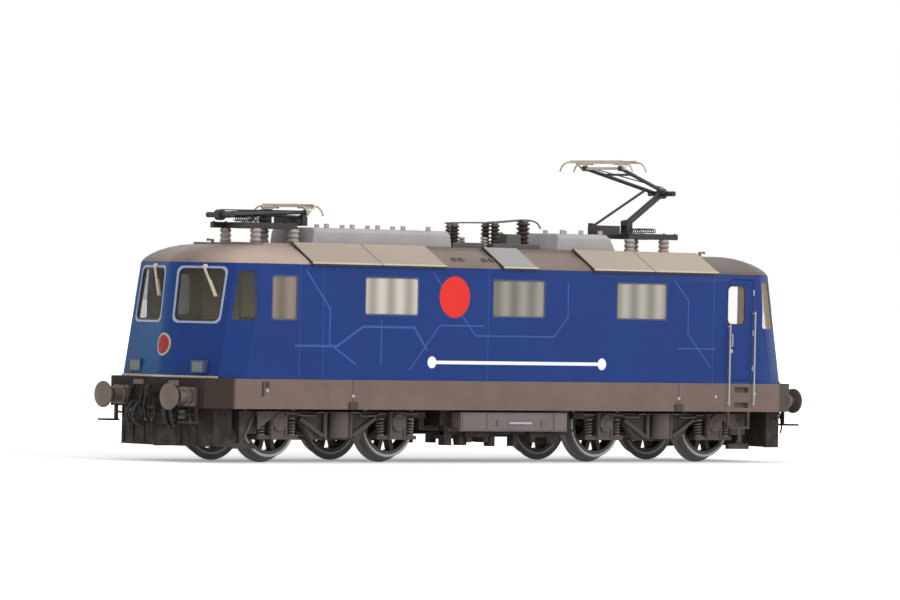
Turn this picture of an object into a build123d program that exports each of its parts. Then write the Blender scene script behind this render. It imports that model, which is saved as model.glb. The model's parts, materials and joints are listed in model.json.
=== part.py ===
"""Model electric locomotive for 16.5 mm track, scale 1:87, built from separate pieces.

X runs along the locomotive, Z up from the lowest point of the wheel flanges. The body is the same
when turned half round about Z. The front (-X) pantograph is folded, the rear (+X) one is raised.
"""
import os
from math import cos, radians, sin

from build123d import *

os.makedirs("parts", exist_ok=True)

# Track and wheels
flange_depth = 1.0
tread_diameter = 14.4
wheel_width = 2.8
back_to_back = 14.4
tyre_bore = 11.8
axle_diameter = 3.0
hub_diameter = 4.6
spoke_count = 10
spoke_width = 1.0
axle_spacing = 32.2

# Length: everything along the locomotive is set out from the buffer faces or from the bogie centres
length_over_buffers = 177.0
buffer_length = 6.0
bogie_overhang = 37.1
buffer_face_x = length_over_buffers / 2
frame_end_x = buffer_face_x - buffer_length
bogie_x = frame_end_x - bogie_overhang
# Places along the roof and sides are written for this bogie centre and stretch with the real one
layout_bogie_x = 45.4
stretch = bogie_x / layout_bogie_x

# Body, heights from the flanges
half_width = 17.05
corner_half_width = 14.5
skirt_bottom_z = 10.8
body_base_z = 16.8
gutter_z = 39.7
wall = 1.1
# Distance from the middle of the locomotive to: start of the cab taper, cab corner, nose
plan_base = tuple(frame_end_x - setback for setback in (8.5, 3.3, 0.5))
plan_gutter = tuple(frame_end_x - setback for setback in (12.7, 7.5, 2.9))
nose_radius = 5.0
corner_radius = 1.2
taper_radius = 4.0

# Underframe
frame_taper_x = frame_end_x - 5.3
frame_end_half_width = 14.3
solebar_thickness = 1.6
headstock_thickness = 1.5
floor_thickness = 1.0

# Buffers
buffer_height = 12.07
buffer_half_spacing = 10.06
buffer_head_diameter = 5.3

# Running clearances
axle_clearance = 0.1
pivot_diameter = 6.0
pivot_clearance = 0.1
pin_clearance = 0.05

rail_z = flange_depth
axle_z = rail_z + tread_diameter / 2
flange_radius = tread_diameter / 2 + flange_depth
buffer_z = rail_z + buffer_height
floor_top_z = body_base_z + floor_thickness


def save(part, name):
    """Labels one finished piece and writes its STEP file."""
    part.label = name
    export_step(part, f"parts/{name}.step")


def block(x_span, y_span, z_span, mode=Mode.ADD):
    """A box that fills three spans, added to the part being built."""
    spans = (x_span, y_span, z_span)
    with Locations(tuple((low + high) / 2 for low, high in map(sorted, spans))):
        Box(*(abs(high - low) for low, high in spans), mode=mode)


def bar(start, end, diameter, mode=Mode.ADD):
    """A round bar between two points, added to the part being built."""
    run = Vector(*end) - Vector(*start)
    with BuildSketch(Plane(origin=start, z_dir=run)) as circle:
        Circle(diameter / 2)
    extrude(circle.sketch, amount=run.length, mode=mode)


def cross_bar(x, z, y_span, diameter, mode=Mode.ADD):
    """A round bar across the locomotive at one place along it and one height."""
    bar((x, y_span[0], z), (x, y_span[1], z), diameter, mode=mode)


def side_plane(side, y):
    """Plane on one side of the body, facing out, x from left to right as seen from that side."""
    return Plane(origin=(0, side * y, 0), x_dir=(-side, 0, 0), z_dir=(0, side, 0))


def end_plane(end, x):
    """Plane across one end, facing out."""
    return Plane(origin=(end * x, 0, 0), x_dir=(0, end, 0), z_dir=(end, 0, 0))


def plan_at(height):
    """Taper start, corner and nose distances at one height of the body."""
    share = (height - body_base_z) / (gutter_z - body_base_z)
    return [low + (high - low) * share for low, high in zip(plan_base, plan_gutter)]


def body_section(height, inset=0.0, plan=None):
    """Plan outline of the body: long sides, tapered cab corners and a blunt V nose, moved in by inset."""
    taper_x, corner_x, nose_x = plan or plan_at(height)
    quarter = [(nose_x, 0), (corner_x, corner_half_width), (taper_x, half_width)]
    half = quarter + [(-x, y) for x, y in reversed(quarter)]
    with BuildSketch(Plane.XY.offset(height), mode=Mode.PRIVATE) as section:
        with BuildLine():
            Polyline(half + [(x, -y) for x, y in reversed(half[1:-1])], close=True)
        make_face()
        if inset:
            offset(amount=-inset, kind=Kind.INTERSECTION)
        corners = section.vertices()
        noses = corners.filter_by(lambda v: abs(v.Y) < 0.1)
        tapers = corners.filter_by(lambda v: abs(abs(v.Y) - half_width + inset) < 0.05)
        others = corners.filter_by(lambda v: 0.1 < abs(v.Y) < half_width - inset - 0.05)
        fillet(noses, nose_radius)
        fillet(tapers, taper_radius)
        fillet(others, corner_radius)
    return section.sketch


def body_loft(inset, low_z=body_base_z, high_z=gutter_z, mode=Mode.ADD):
    """Body form between two heights, moved in by inset."""
    loft([body_section(low_z, inset), body_section(high_z, inset)], ruled=True, mode=mode)


# Windows as seen from the side, both sides alike. Frosted ones light the machine room and corridor.
side_windows = [
    {"x": 18.3 - frame_end_x, "width": 6.9, "sill": 28.5, "head": 37.5, "radius": 0.5, "frosted": True},
    {"x": -35.3 * stretch, "width": 14.8, "sill": 29.8, "head": 37.6, "radius": 0.5, "frosted": True},
    {"x": 0.0, "width": 14.8, "sill": 29.8, "head": 37.6, "radius": 0.5, "frosted": True},
    {"x": 35.3 * stretch, "width": 14.8, "sill": 29.8, "head": 37.6, "radius": 0.5, "frosted": True},
    {"x": frame_end_x - 19.3, "width": 5.2, "sill": 29.2, "head": 37.4, "radius": 1.2, "frosted": False},
]
door = {"x": frame_end_x - 17.9, "width": 7.4, "sill": 17.4, "head": 38.8, "radius": 1.0, "groove": 0.22}
corner_window = {"sill": 28.4, "head": 38.2, "front_gap": 0.75, "rear_x": frame_end_x - 11.4, "radius": 0.6}
windscreen = {"inner": 1.7, "outer": 13.0, "sill": 27.6, "head": 39.0, "radius": 1.3}
side_frame_width = 0.3
frame_width = 0.45
frame_proud = 0.12
side_frame_proud = 0.03
frame_depth = 0.6
glass_front = 0.1
glass_back = 0.9
side_cut_depth = 3.5
corner_cut_depth = 4.4
front_cut_depth = 11.0


def side_window_prisms(margin, frosted):
    """Prisms through the side walls at the frosted or the clear windows, outlines moved in by margin."""
    with BuildPart(mode=Mode.PRIVATE) as prisms:
        for side in (-1, 1):
            for window in (w for w in side_windows if w["frosted"] == frosted):
                with BuildSketch(side_plane(side, half_width + 1)):
                    with Locations((window["x"], (window["sill"] + window["head"]) / 2)):
                        RectangleRounded(
                            window["width"] - 2 * margin,
                            window["head"] - window["sill"] - 2 * margin,
                            window["radius"],
                        )
                extrude(amount=-side_cut_depth)
    return prisms.part


def corner_window_prisms(margin):
    """Prisms through the tapered cab corners; the front edge leans with the cab, the rear edge is upright."""
    low_z, high_z = corner_window["sill"], corner_window["head"]
    rear_x = corner_window["rear_x"]
    front_low, front_high = (plan_at(z)[1] - corner_window["front_gap"] for z in (low_z, high_z))
    with BuildPart(mode=Mode.PRIVATE) as prisms:
        for side in (-1, 1):
            for end in (-1, 1):
                with BuildSketch(side_plane(side, half_width + 1)) as outline:
                    with BuildLine():
                        Polyline(
                            (end * rear_x, low_z), (end * front_low, low_z),
                            (end * front_high, high_z), (end * rear_x, high_z), close=True,
                        )
                    make_face()
                    if margin:
                        offset(amount=-margin, kind=Kind.INTERSECTION)
                    fillet(outline.vertices(), corner_window["radius"])
                extrude(amount=-corner_cut_depth)
    return prisms.part


def windscreen_prisms(margin):
    """Prisms through the front walls, two panes at each end."""
    width = windscreen["outer"] - windscreen["inner"]
    height = windscreen["head"] - windscreen["sill"]
    middle = (windscreen["outer"] + windscreen["inner"]) / 2
    middle_z = windscreen["sill"] + height / 2
    with BuildPart(mode=Mode.PRIVATE) as prisms:
        for end in (-1, 1):
            with BuildSketch(end_plane(end, plan_base[2] + 2)):
                with Locations((-middle, middle_z), (middle, middle_z)):
                    RectangleRounded(width - 2 * margin, height - 2 * margin, windscreen["radius"])
            extrude(amount=-front_cut_depth)
    return prisms.part


def wall_skin(outer_inset, inner_inset):
    """Thin skin that follows the body walls between two insets."""
    with BuildPart(mode=Mode.PRIVATE) as skin:
        body_loft(outer_inset)
        body_loft(inner_inset, mode=Mode.SUBTRACT)
    return skin.part


# Body shell: hollow, windows cut, door outlines engraved
with BuildPart() as body_shell:
    body_loft(0)
    body_loft(wall, mode=Mode.SUBTRACT)
    for cutter in (side_window_prisms(0, True), side_window_prisms(0, False),
                   corner_window_prisms(0), windscreen_prisms(0)):
        add(cutter, mode=Mode.SUBTRACT)
    for side in (-1, 1):
        with BuildSketch(side_plane(side, half_width)):
            with Locations((door["x"], (door["sill"] + door["head"]) / 2)):
                RectangleRounded(door["width"], door["head"] - door["sill"], door["radius"])
                RectangleRounded(
                    door["width"] - 2 * door["groove"],
                    door["head"] - door["sill"] - 2 * door["groove"],
                    door["radius"] - door["groove"],
                    mode=Mode.SUBTRACT,
                )
        extrude(amount=-door["groove"], mode=Mode.SUBTRACT)
save(body_shell.part, "body_shell")

# Window frames and panes fill the cut windows, following the walls
frame_skin = wall_skin(-frame_proud, frame_depth)
flush_skin = wall_skin(-side_frame_proud, frame_depth)
glass_skin = wall_skin(glass_front, glass_back)

with BuildPart() as side_window_frames:
    add(flush_skin)
    add(side_window_prisms(0, True), mode=Mode.INTERSECT)
    add(side_window_prisms(side_frame_width, True), mode=Mode.SUBTRACT)
save(side_window_frames.part, "side_window_frames")

with BuildPart() as windscreen_frames:
    add(frame_skin)
    add(windscreen_prisms(0), mode=Mode.INTERSECT)
    add(windscreen_prisms(frame_width), mode=Mode.SUBTRACT)
save(windscreen_frames.part, "windscreen_frames")

with BuildPart() as frosted_panes:
    add(glass_skin)
    add(side_window_prisms(side_frame_width, True), mode=Mode.INTERSECT)
save(frosted_panes.part, "frosted_panes")

with BuildPart() as cab_panes:
    add(glass_skin)
    with BuildPart(mode=Mode.PRIVATE) as clear_cutters:
        add(side_window_prisms(0, False))
        add(corner_window_prisms(0))
        add(windscreen_prisms(frame_width))
    add(clear_cutters.part, mode=Mode.INTERSECT)
save(cab_panes.part, "cab_panes")

# Roof: the gutter outline drawn in step by step up to a flat top, hollow below, with a raised middle deck
roof_steps = [
    {"rise": 0.0, "side": 0.0, "front": 0.0},
    {"rise": 0.7, "side": 0.5, "front": 0.6},
    {"rise": 1.5, "side": 1.7, "front": 1.6},
    {"rise": 2.3, "side": 3.1, "front": 3.2},
    {"rise": 3.0, "side": 4.4, "front": 5.4},
    {"rise": 3.5, "side": 5.4, "front": 8.0},
    {"rise": 3.75, "side": 6.1, "front": 11.0},
]
roof_top_z = gutter_z + roof_steps[-1]["rise"]
deck_span = (-64.5 * stretch, 58.0 * stretch)
deck_half_width = 10.8
deck_z = 43.9
deck_root = 2.6
roof_hollow = [{"rise": 0.0, "inset": 1.3}, {"rise": 2.4, "inset": 5.6}]


def roof_section(step):
    """Roof outline at one step: the gutter outline moved in at the sides, and further back at the ends."""
    plan = [x - step["front"] + step["side"] for x in plan_gutter]
    return body_section(gutter_z + step["rise"], step["side"], plan)


with BuildPart() as roof_form:
    for low, high in zip(roof_steps, roof_steps[1:]):
        loft([roof_section(low), roof_section(high)], ruled=True)
    block(deck_span, (-deck_half_width, deck_half_width), (gutter_z + deck_root, deck_z))

with BuildPart() as roof:
    add(roof_form.part)
    loft([body_section(gutter_z + step["rise"], step["inset"], plan_gutter) for step in roof_hollow],
         ruled=True, mode=Mode.SUBTRACT)
save(roof.part, "roof")

# Sloping hatches on the roof shoulders: plates proud of the roof, cut to sit on it
hatch_low = (17.45, 40.1)
hatch_high = (10.8, 44.15)
hatch_gap = 0.25
hatches = [
    {"name": "roof_hatches", "spans": [(-57.4, -38.5), (-38.5, -20.8), (20.8, 38.5), (38.5, 57.4)]},
    {"name": "roof_middle_hatches", "spans": [(-5.0, 5.0)]},
]
for hatch in hatches:
    with BuildPart() as plates:
        for side in (-1, 1):
            for low_x, high_x in ([x * stretch for x in span] for span in hatch["spans"]):
                start_x = low_x + hatch_gap / 2
                with BuildSketch(Plane(origin=(start_x, 0, 0), x_dir=(0, side, 0), z_dir=(side, 0, 0))):
                    with BuildLine():
                        Polyline(hatch_low, hatch_high, (hatch_high[0], 41), (16.2, 39.9),
                                 (half_width - 0.05, 39.8), (hatch_low[0], hatch_low[1] - 0.3), close=True)
                    make_face()
                extrude(amount=(high_x - low_x - hatch_gap) * side)
        add(roof_form.part, mode=Mode.SUBTRACT)
    save(plates.part, hatch["name"])

# Long hoods on the deck: plan spans, width and height
hoods = [
    {"span": (-47.7, -9.4), "half_width": 6.6, "top": 47.3, "slant": 0.6},
    {"span": (20.4, 37.6), "half_width": 6.6, "top": 47.5, "slant": 2.2},
]
hood_chamfer = 0.8
with BuildPart() as roof_hoods:
    for hood in hoods:
        low_x, high_x = (x * stretch for x in hood["span"])
        with BuildSketch(Plane(origin=(0, -hood["half_width"], 0), x_dir=(1, 0, 0), z_dir=(0, -1, 0))):
            with BuildLine():
                Polyline((low_x, deck_z), (high_x, deck_z), (high_x - hood["slant"], hood["top"]),
                         (low_x + 0.6, hood["top"]), close=True)
            make_face()
        extrude(amount=-2 * hood["half_width"])
    chamfer(roof_hoods.edges().filter_by(Axis.X).filter_by(lambda e: e.center().Z > deck_z + 1), hood_chamfer)
save(roof_hoods.part, "roof_hoods")

# Switchgear between the hoods: dark plinths with ribbed posts, and a rod across their tops
switch_posts = [
    {"x": -6.0, "y": -3.5, "radius": 1.2, "height": 3.6},
    {"x": -1.0, "y": 3.0, "radius": 1.2, "height": 3.6},
    {"x": 5.5, "y": -3.5, "radius": 1.1, "height": 4.0},
    {"x": 9.0, "y": 3.0, "radius": 1.1, "height": 4.0},
    {"x": 14.0, "y": -3.0, "radius": 1.5, "height": 4.6},
]
post_base = 1.2
plinth_half_width = 5.2
plinths = [(-7.8, 1.2), (3.6, 17.0)]
breaker = {"span": (8.0, 12.0), "y_span": (-4.6, -1.4), "height": 2.0}
with BuildPart() as switch_boxes:
    for low_x, high_x in plinths:
        block((low_x * stretch, high_x * stretch), (-plinth_half_width, plinth_half_width),
              (deck_z, deck_z + post_base))
    block([x * stretch for x in breaker["span"]], breaker["y_span"],
          (deck_z + post_base, deck_z + post_base + breaker["height"]))
save(switch_boxes.part, "switch_boxes")


def ribbed_post(radius, height, ribs=4):
    """Half outline of a ribbed insulator, for turning about its own upright axis."""
    pitch = height / ribs
    neck = radius * 0.62
    points = [(0, 0)]
    for rib in range(ribs):
        points += [(neck, rib * pitch), (radius, (rib + 0.35) * pitch), (neck, (rib + 0.7) * pitch)]
    return points + [(neck, height), (0, height)]


def insulator(x, y, z, radius, height):
    """A ribbed insulator standing at a point, added to the part being built."""
    with BuildSketch(Plane(origin=(x, y, z), x_dir=(1, 0, 0), z_dir=(0, -1, 0))) as outline:
        with BuildLine():
            Polyline(ribbed_post(radius, height), close=True)
        make_face()
    revolve(outline.sketch, axis=Axis((x, y, z), (0, 0, 1)))


with BuildPart() as switch_insulators:
    for post in switch_posts:
        insulator(post["x"] * stretch, post["y"], deck_z + post_base, post["radius"], post["height"])
save(switch_insulators.part, "switch_insulators")

rod_diameter = 0.6
cap_half_width = 1.0
cap_thickness = 0.5
with BuildPart() as switch_rods:
    for first, second in (switch_posts[0:2], switch_posts[2:4]):
        top = deck_z + post_base + first["height"] + rod_diameter / 2
        bar((first["x"] * stretch - rod_diameter, first["y"], top),
            (second["x"] * stretch + rod_diameter, second["y"], top), rod_diameter)
    tall = switch_posts[4]
    top = deck_z + post_base + tall["height"]
    tall_x = tall["x"] * stretch
    block((tall_x - cap_half_width, tall_x + cap_half_width),
          (tall["y"] - cap_half_width, tall["y"] + cap_half_width), (top, top + cap_thickness))
save(switch_rods.part, "switch_rods")

# Lifting lugs along the hoods
lug_y = 5.4
lug = {"length": 1.0, "width": 0.5, "height": 0.8}
lug_rows = [{"hood": 0, "xs": (-43.0, -36.0, -29.0, -22.0, -15.0)}, {"hood": 1, "xs": (23.0, 28.5, 34.0)}]
with BuildPart() as lifting_lugs:
    for row in lug_rows:
        z = hoods[row["hood"]]["top"]
        for x in (x * stretch for x in row["xs"]):
            for y in (-lug_y, lug_y):
                block((x - lug["length"] / 2, x + lug["length"] / 2),
                      (y - lug["width"] / 2, y + lug["width"] / 2), (z, z + lug["height"]))
save(lifting_lugs.part, "lifting_lugs")

# A short horn on each cab roof, clear of the deck, its foot cut to sit on the roof
horn_deck_clearance = 2.5
horn_x = -deck_span[0] + horn_deck_clearance
horn_y = 2.0
horn_z = roof_top_z + 0.9
with BuildPart() as roof_horns:
    for end in (-1, 1):
        x, y = end * horn_x, -end * horn_y
        bar((x, y, gutter_z), (x, y, horn_z - 0.2), 0.7)
        bar((x - end * 0.4, y, horn_z), (x + end * 1.4, y, horn_z), 0.6)
    add(roof_form.part, mode=Mode.SUBTRACT)
save(roof_horns.part, "roof_horns")

# Underframe: two solebars, two headstocks and the floor plate between the body and the bogies
step_pockets = {"x": frame_end_x - 17.2, "width": 4.2, "heights": (12.2, 15.4), "height": 1.1, "depth": 1.0}
with BuildPart() as solebars:
    for side in (-1, 1):
        with BuildSketch(Plane.XY.offset(skirt_bottom_z)):
            with BuildLine():
                rim = [(-frame_end_x, frame_end_half_width), (-frame_taper_x, half_width),
                       (frame_taper_x, half_width), (frame_end_x, frame_end_half_width)]
                inner = [(frame_end_x, frame_end_half_width - solebar_thickness),
                         (frame_taper_x - 0.4, half_width - solebar_thickness)]
                inner += [(-x, y) for x, y in reversed(inner)]
                Polyline([(x, side * y) for x, y in rim + inner], close=True)
            make_face()
        extrude(amount=body_base_z - skirt_bottom_z)
        with BuildSketch(side_plane(side, half_width)):
            with Locations(*((step_pockets["x"], z) for z in step_pockets["heights"])):
                Rectangle(step_pockets["width"], step_pockets["height"])
        extrude(amount=-step_pockets["depth"], mode=Mode.SUBTRACT)
save(solebars.part, "solebars")

headstock_half_width = frame_end_half_width - solebar_thickness
with BuildPart() as headstocks:
    for end in (-1, 1):
        block((end * (frame_end_x - headstock_thickness), end * frame_end_x),
              (-headstock_half_width, headstock_half_width), (skirt_bottom_z, body_base_z))
save(headstocks.part, "headstocks")

floor_gap = 0.35
with BuildPart() as floor_plate:
    with BuildSketch(Plane.XY.offset(body_base_z)):
        add(body_section(body_base_z, wall + floor_gap).moved(Location((0, 0, -body_base_z))))
    extrude(amount=floor_thickness)
    with Locations(*((end * bogie_x, 0, body_base_z + floor_thickness / 2) for end in (-1, 1))):
        Cylinder(pivot_diameter / 2 + pivot_clearance, floor_thickness, mode=Mode.SUBTRACT)
save(floor_plate.part, "floor_plate")

# Ballast block with the motor inside: one plain heavy block on the floor
ballast_top_z = 36.0
bulkhead_x = frame_end_x - 25.5
ballast_half_length = bulkhead_x - 3.0
ballast_half_width = 10.5
pivot_recess = 1.5
with BuildPart() as ballast_block:
    block((-ballast_half_length, ballast_half_length), (-ballast_half_width, ballast_half_width),
          (floor_top_z, ballast_top_z))
    with Locations(*((end * bogie_x, 0, floor_top_z + pivot_recess / 2) for end in (-1, 1))):
        Cylinder(pivot_diameter / 2 + pivot_clearance, pivot_recess, mode=Mode.SUBTRACT)
save(ballast_block.part, "ballast_block")

# Cabs: bulkhead, desk and seat at each end
bulkhead = {"thickness": 1.0, "half_width": half_width - wall - 0.65, "top": gutter_z - 0.7}
with BuildPart() as cab_bulkheads:
    for end in (-1, 1):
        block((end * bulkhead_x, end * (bulkhead_x + bulkhead["thickness"])),
              (-bulkhead["half_width"], bulkhead["half_width"]), (floor_top_z, bulkhead["top"]))
save(cab_bulkheads.part, "cab_bulkheads")

desk_half_width = 12.0
desk_outline = [(10.5, floor_top_z), (7.7, floor_top_z), (7.7, 27.0), (8.9, 27.2), (11.9, 25.8), (11.9, 25.0),
                (10.5, 24.6)]
with BuildPart() as driver_desks:
    for end in (-1, 1):
        with BuildSketch(Plane(origin=(0, -desk_half_width, 0), x_dir=(1, 0, 0), z_dir=(0, -1, 0))):
            with BuildLine():
                Polyline([(end * (frame_end_x - setback), z) for setback, z in desk_outline], close=True)
            make_face()
        extrude(amount=-2 * desk_half_width)
save(driver_desks.part, "driver_desks")

seat = {"x": frame_end_x - 19.5, "y": 5.5, "length": 4.2, "half_width": 2.6, "bottom": 22.4, "top": 23.6,
        "back_top": 29.0}
with BuildPart() as driver_seats:
    for end in (-1, 1):
        y = end * seat["y"]
        y_span = (y - seat["half_width"], y + seat["half_width"])
        post_x = end * (seat["x"] + seat["length"] / 2)
        block((end * seat["x"], end * (seat["x"] + seat["length"])), y_span, (seat["bottom"], seat["top"]))
        block((end * seat["x"], end * (seat["x"] + 1.0)), y_span, (seat["top"], seat["back_top"]))
        bar((post_x, y, floor_top_z), (post_x, y, seat["bottom"]), 2.0)
save(driver_seats.part, "driver_seats")

# Battery box under the middle of the floor, and darker equipment below it and at its ends
battery = {"half_length": 15.0 * stretch, "half_width": 16.4, "bottom": 6.5, "top": 10.4}
equipment_half_length = 18.2 * stretch
equipment_half_width = 13.6
equipment_bottom_z = 7.4
runner = {"x": 9.0 * stretch, "half_length": 3.4 * stretch, "y_span": (12.0, 15.0), "bottom": 4.2}
with BuildPart() as battery_box:
    block((-battery["half_length"], battery["half_length"]), (-battery["half_width"], battery["half_width"]),
          (battery["bottom"], battery["top"]))
save(battery_box.part, "battery_box")

with BuildPart() as equipment_boxes:
    block((-equipment_half_length, equipment_half_length), (-equipment_half_width, equipment_half_width),
          (battery["top"], body_base_z))
    for end in (-1, 1):
        block((end * battery["half_length"], end * equipment_half_length),
              (-equipment_half_width, equipment_half_width), (equipment_bottom_z, battery["top"]))
        for side in (-1, 1):
            block((end * (runner["x"] - runner["half_length"]), end * (runner["x"] + runner["half_length"])),
                  [side * y for y in runner["y_span"]], (runner["bottom"] + 1.1, battery["bottom"]))
            for x in (runner["x"] - runner["half_length"] * 0.7, runner["x"] + runner["half_length"] * 0.7):
                block((end * x - 0.7, end * x + 0.7), [side * y for y in runner["y_span"]],
                      (runner["bottom"], runner["bottom"] + 1.1))
save(equipment_boxes.part, "equipment_boxes")

# Buffers: base plate, sleeve, plunger and head
buffer_base = {"depth": 0.9, "half_width": 2.2, "half_height": 1.9}
buffer_sleeve_end = frame_end_x + 3.7
buffer_head_back = buffer_face_x - 0.9
buffer_stages = [
    {"start": frame_end_x + buffer_base["depth"], "stop": buffer_sleeve_end, "diameter": 2.9},
    {"start": buffer_sleeve_end, "stop": buffer_head_back, "diameter": 2.0},
    {"start": buffer_head_back, "stop": buffer_face_x, "diameter": buffer_head_diameter},
]
with BuildPart() as buffers:
    for end in (-1, 1):
        for side in (-1, 1):
            y = side * buffer_half_spacing
            block((end * frame_end_x, end * (frame_end_x + buffer_base["depth"])),
                  (y - buffer_base["half_width"], y + buffer_base["half_width"]),
                  (buffer_z - buffer_base["half_height"], buffer_z + buffer_base["half_height"]))
            for stage in buffer_stages:
                bar(*((end * stage[x], y, buffer_z) for x in ("start", "stop")), stage["diameter"])
save(buffers.part, "buffers")

# Coupling hooks with a hanging link, and the brake hoses beside them
coupling_pieces = [
    {"name": "plate", "reach": (0.0, 0.5), "half_width": 1.6, "heights": (12.0, 15.0)},
    {"name": "shank", "reach": (0.5, 2.7), "half_width": 0.45, "heights": (12.9, 14.1)},
    {"name": "tip", "reach": (1.9, 2.7), "half_width": 0.45, "heights": (14.1, 15.2)},
    {"name": "link", "reach": (1.1, 1.6), "half_width": 1.0, "heights": (8.6, 12.9)},
]
with BuildPart() as coupling_hooks:
    for end in (-1, 1):
        for piece in coupling_pieces:
            block([end * (frame_end_x + reach) for reach in piece["reach"]],
                  (-piece["half_width"], piece["half_width"]), piece["heights"])
save(coupling_hooks.part, "coupling_hooks")

hose_ys = (-6.4, -4.4, 4.4, 6.4)
hose_diameter = 0.8
hose_reach = 1.7
hose_top_z = 11.6
hose_bottom_z = 7.4
with BuildPart() as brake_hoses:
    for end in (-1, 1):
        bend_x = end * (frame_end_x + hose_reach)
        for y in hose_ys:
            bar((end * frame_end_x, y, hose_top_z), (bend_x, y, hose_top_z), hose_diameter)
            with Locations((bend_x, y, hose_top_z)):
                Sphere(hose_diameter / 2)
            bar((bend_x, y, hose_top_z), (bend_x + end * 0.2, y, hose_bottom_z), hose_diameter)
save(brake_hoses.part, "brake_hoses")

# Ploughs: a shallow V of two blades under each headstock with wings running back
plough_bottom_z = 3.2
plough_nose_x = frame_end_x - 0.7
plough_corner = (frame_end_x - 2.9, 14.2)
plough_wing = (frame_end_x - 7.1, 14.6)
plough_thickness = 0.9
plough_opening = {"half_width": 4.6, "bottom": 7.6}
with BuildPart() as ploughs:
    for end in (-1, 1):
        with BuildSketch(Plane.XY.offset(plough_bottom_z)):
            with BuildLine():
                outer = [(plough_nose_x, 0), plough_corner, plough_wing]
                inner = [(plough_wing[0], plough_wing[1] - plough_thickness),
                         (plough_corner[0] - plough_thickness, plough_corner[1] - plough_thickness),
                         (plough_nose_x - plough_thickness, 0)]
                half = outer + inner
                Polyline([(end * x, y) for x, y in half] + [(end * x, -y) for x, y in reversed(half[1:-1])],
                         close=True)
            make_face()
        extrude(amount=skirt_bottom_z - plough_bottom_z)
        block((end * (plough_wing[0] - 5), end * (plough_nose_x + 5)),
              (-plough_opening["half_width"], plough_opening["half_width"]),
              (plough_opening["bottom"], skirt_bottom_z), mode=Mode.SUBTRACT)
save(ploughs.part, "ploughs")

# Steps: shunter's steps at the corners and a ladder under each cab door
corner_step = {"y": 12.2, "z": 7.8, "reach": 3.9, "half_width": 1.4, "thickness": 0.4}
step_post = {"depth": 0.5, "half_width": 0.4, "top": 11.1}
ladder = {"rear_x": frame_end_x - 20.9, "front_x": frame_end_x - 14.9, "z": 7.2, "post": 0.6, "tread": 0.5}
ladder_post_y = (16.5, 17.0)
ladder_tread_y = (16.4, 17.4)
with BuildPart() as steps:
    for end in (-1, 1):
        for side in (-1, 1):
            y = side * corner_step["y"]
            block((end * frame_end_x, end * (frame_end_x + step_post["depth"])),
                  (y - step_post["half_width"], y + step_post["half_width"]),
                  (corner_step["z"], step_post["top"]))
            block((end * (frame_end_x + step_post["depth"]), end * (frame_end_x + corner_step["reach"])),
                  (y - corner_step["half_width"], y + corner_step["half_width"]),
                  (corner_step["z"], corner_step["z"] + corner_step["thickness"]))
    for side in (-1, 1):
        for x in (ladder["rear_x"], ladder["front_x"]):
            block((-side * (x - ladder["post"] / 2), -side * (x + ladder["post"] / 2)),
                  [side * y for y in ladder_post_y], (ladder["z"], skirt_bottom_z))
        block((-side * ladder["rear_x"], -side * ladder["front_x"]),
              [side * y for y in ladder_tread_y], (ladder["z"], ladder["z"] + ladder["tread"]))
save(steps.part, "steps")

# Door handrails stand off the side on short pegs
handrail_y = half_width + 0.7
handrail_span_z = (12.2, 32.0)
handrail_diameter = 0.5
peg_diameter = 0.4
with BuildPart() as handrails:
    for side in (-1, 1):
        for x in (-side * (frame_end_x - 21.6), -side * (frame_end_x - 14.2)):
            bar(*((x, side * handrail_y, z) for z in handrail_span_z), handrail_diameter)
            for z in (handrail_span_z[0] + peg_diameter, handrail_span_z[1] - peg_diameter):
                cross_bar(x, z, (side * half_width, side * handrail_y), peg_diameter)
save(handrails.part, "handrails")


def front_x(y, z):
    """Distance from the middle of the locomotive to the front wall at one width and height."""
    _, corner_x, nose_x = plan_at(z)
    return nose_x - (nose_x - corner_x) * abs(y) / corner_half_width


# Headlamps: two low housings on each front, nearly flush, each with a lens
lamp = {"y": 9.6, "z": 19.0, "half_width": 1.9, "half_height": 1.3, "rim": 0.35, "proud": 0.75}
lamp_face_x = front_x(lamp["y"], lamp["z"]) + lamp["proud"]
lens_back_x = lamp_face_x - 0.6
lens_half_width = lamp["half_width"] - lamp["rim"]
lens_half_height = lamp["half_height"] - lamp["rim"]
lens_inset = 0.1


def lamp_blocks(x_span, half_width, half_height, mode=Mode.ADD):
    """Four boxes, one at each lamp, added to the part being built."""
    for end in (-1, 1):
        for y in (-lamp["y"], lamp["y"]):
            block([end * x for x in x_span], (y - half_width, y + half_width),
                  (lamp["z"] - half_height, lamp["z"] + half_height), mode=mode)


with BuildPart() as lamp_housings:
    lamp_blocks((lamp_face_x - 2.0, lamp_face_x), lamp["half_width"], lamp["half_height"])
    body_loft(0, mode=Mode.SUBTRACT)
    lamp_blocks((lens_back_x, lamp_face_x + 1), lens_half_width, lens_half_height, mode=Mode.SUBTRACT)
save(lamp_housings.part, "lamp_housings")

with BuildPart() as lamp_lenses:
    lamp_blocks((lens_back_x, lamp_face_x - lens_inset), lens_half_width, lens_half_height)
    body_loft(0, mode=Mode.SUBTRACT)
save(lamp_lenses.part, "lamp_lenses")

# Wipers hang from the top of each windscreen, just clear of its frame
wiper_stand_off = 0.55
wiper_ys = (-6.5, 8.0)
wiper_reach = 3.4
wiper_top_z = windscreen["head"] - 0.3
wiper_tip_z = 33.0
with BuildPart() as wipers:
    for end in (-1, 1):
        for y in wiper_ys:
            tip_y = y + wiper_reach
            top = (end * (front_x(y, wiper_top_z) + wiper_stand_off), end * y, wiper_top_z)
            tip = (end * (front_x(tip_y, wiper_tip_z) + wiper_stand_off), end * tip_y, wiper_tip_z)
            bar(top, tip, 0.4)
            with Locations(top):
                Sphere(0.32)
save(wipers.part, "wipers")

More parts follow.
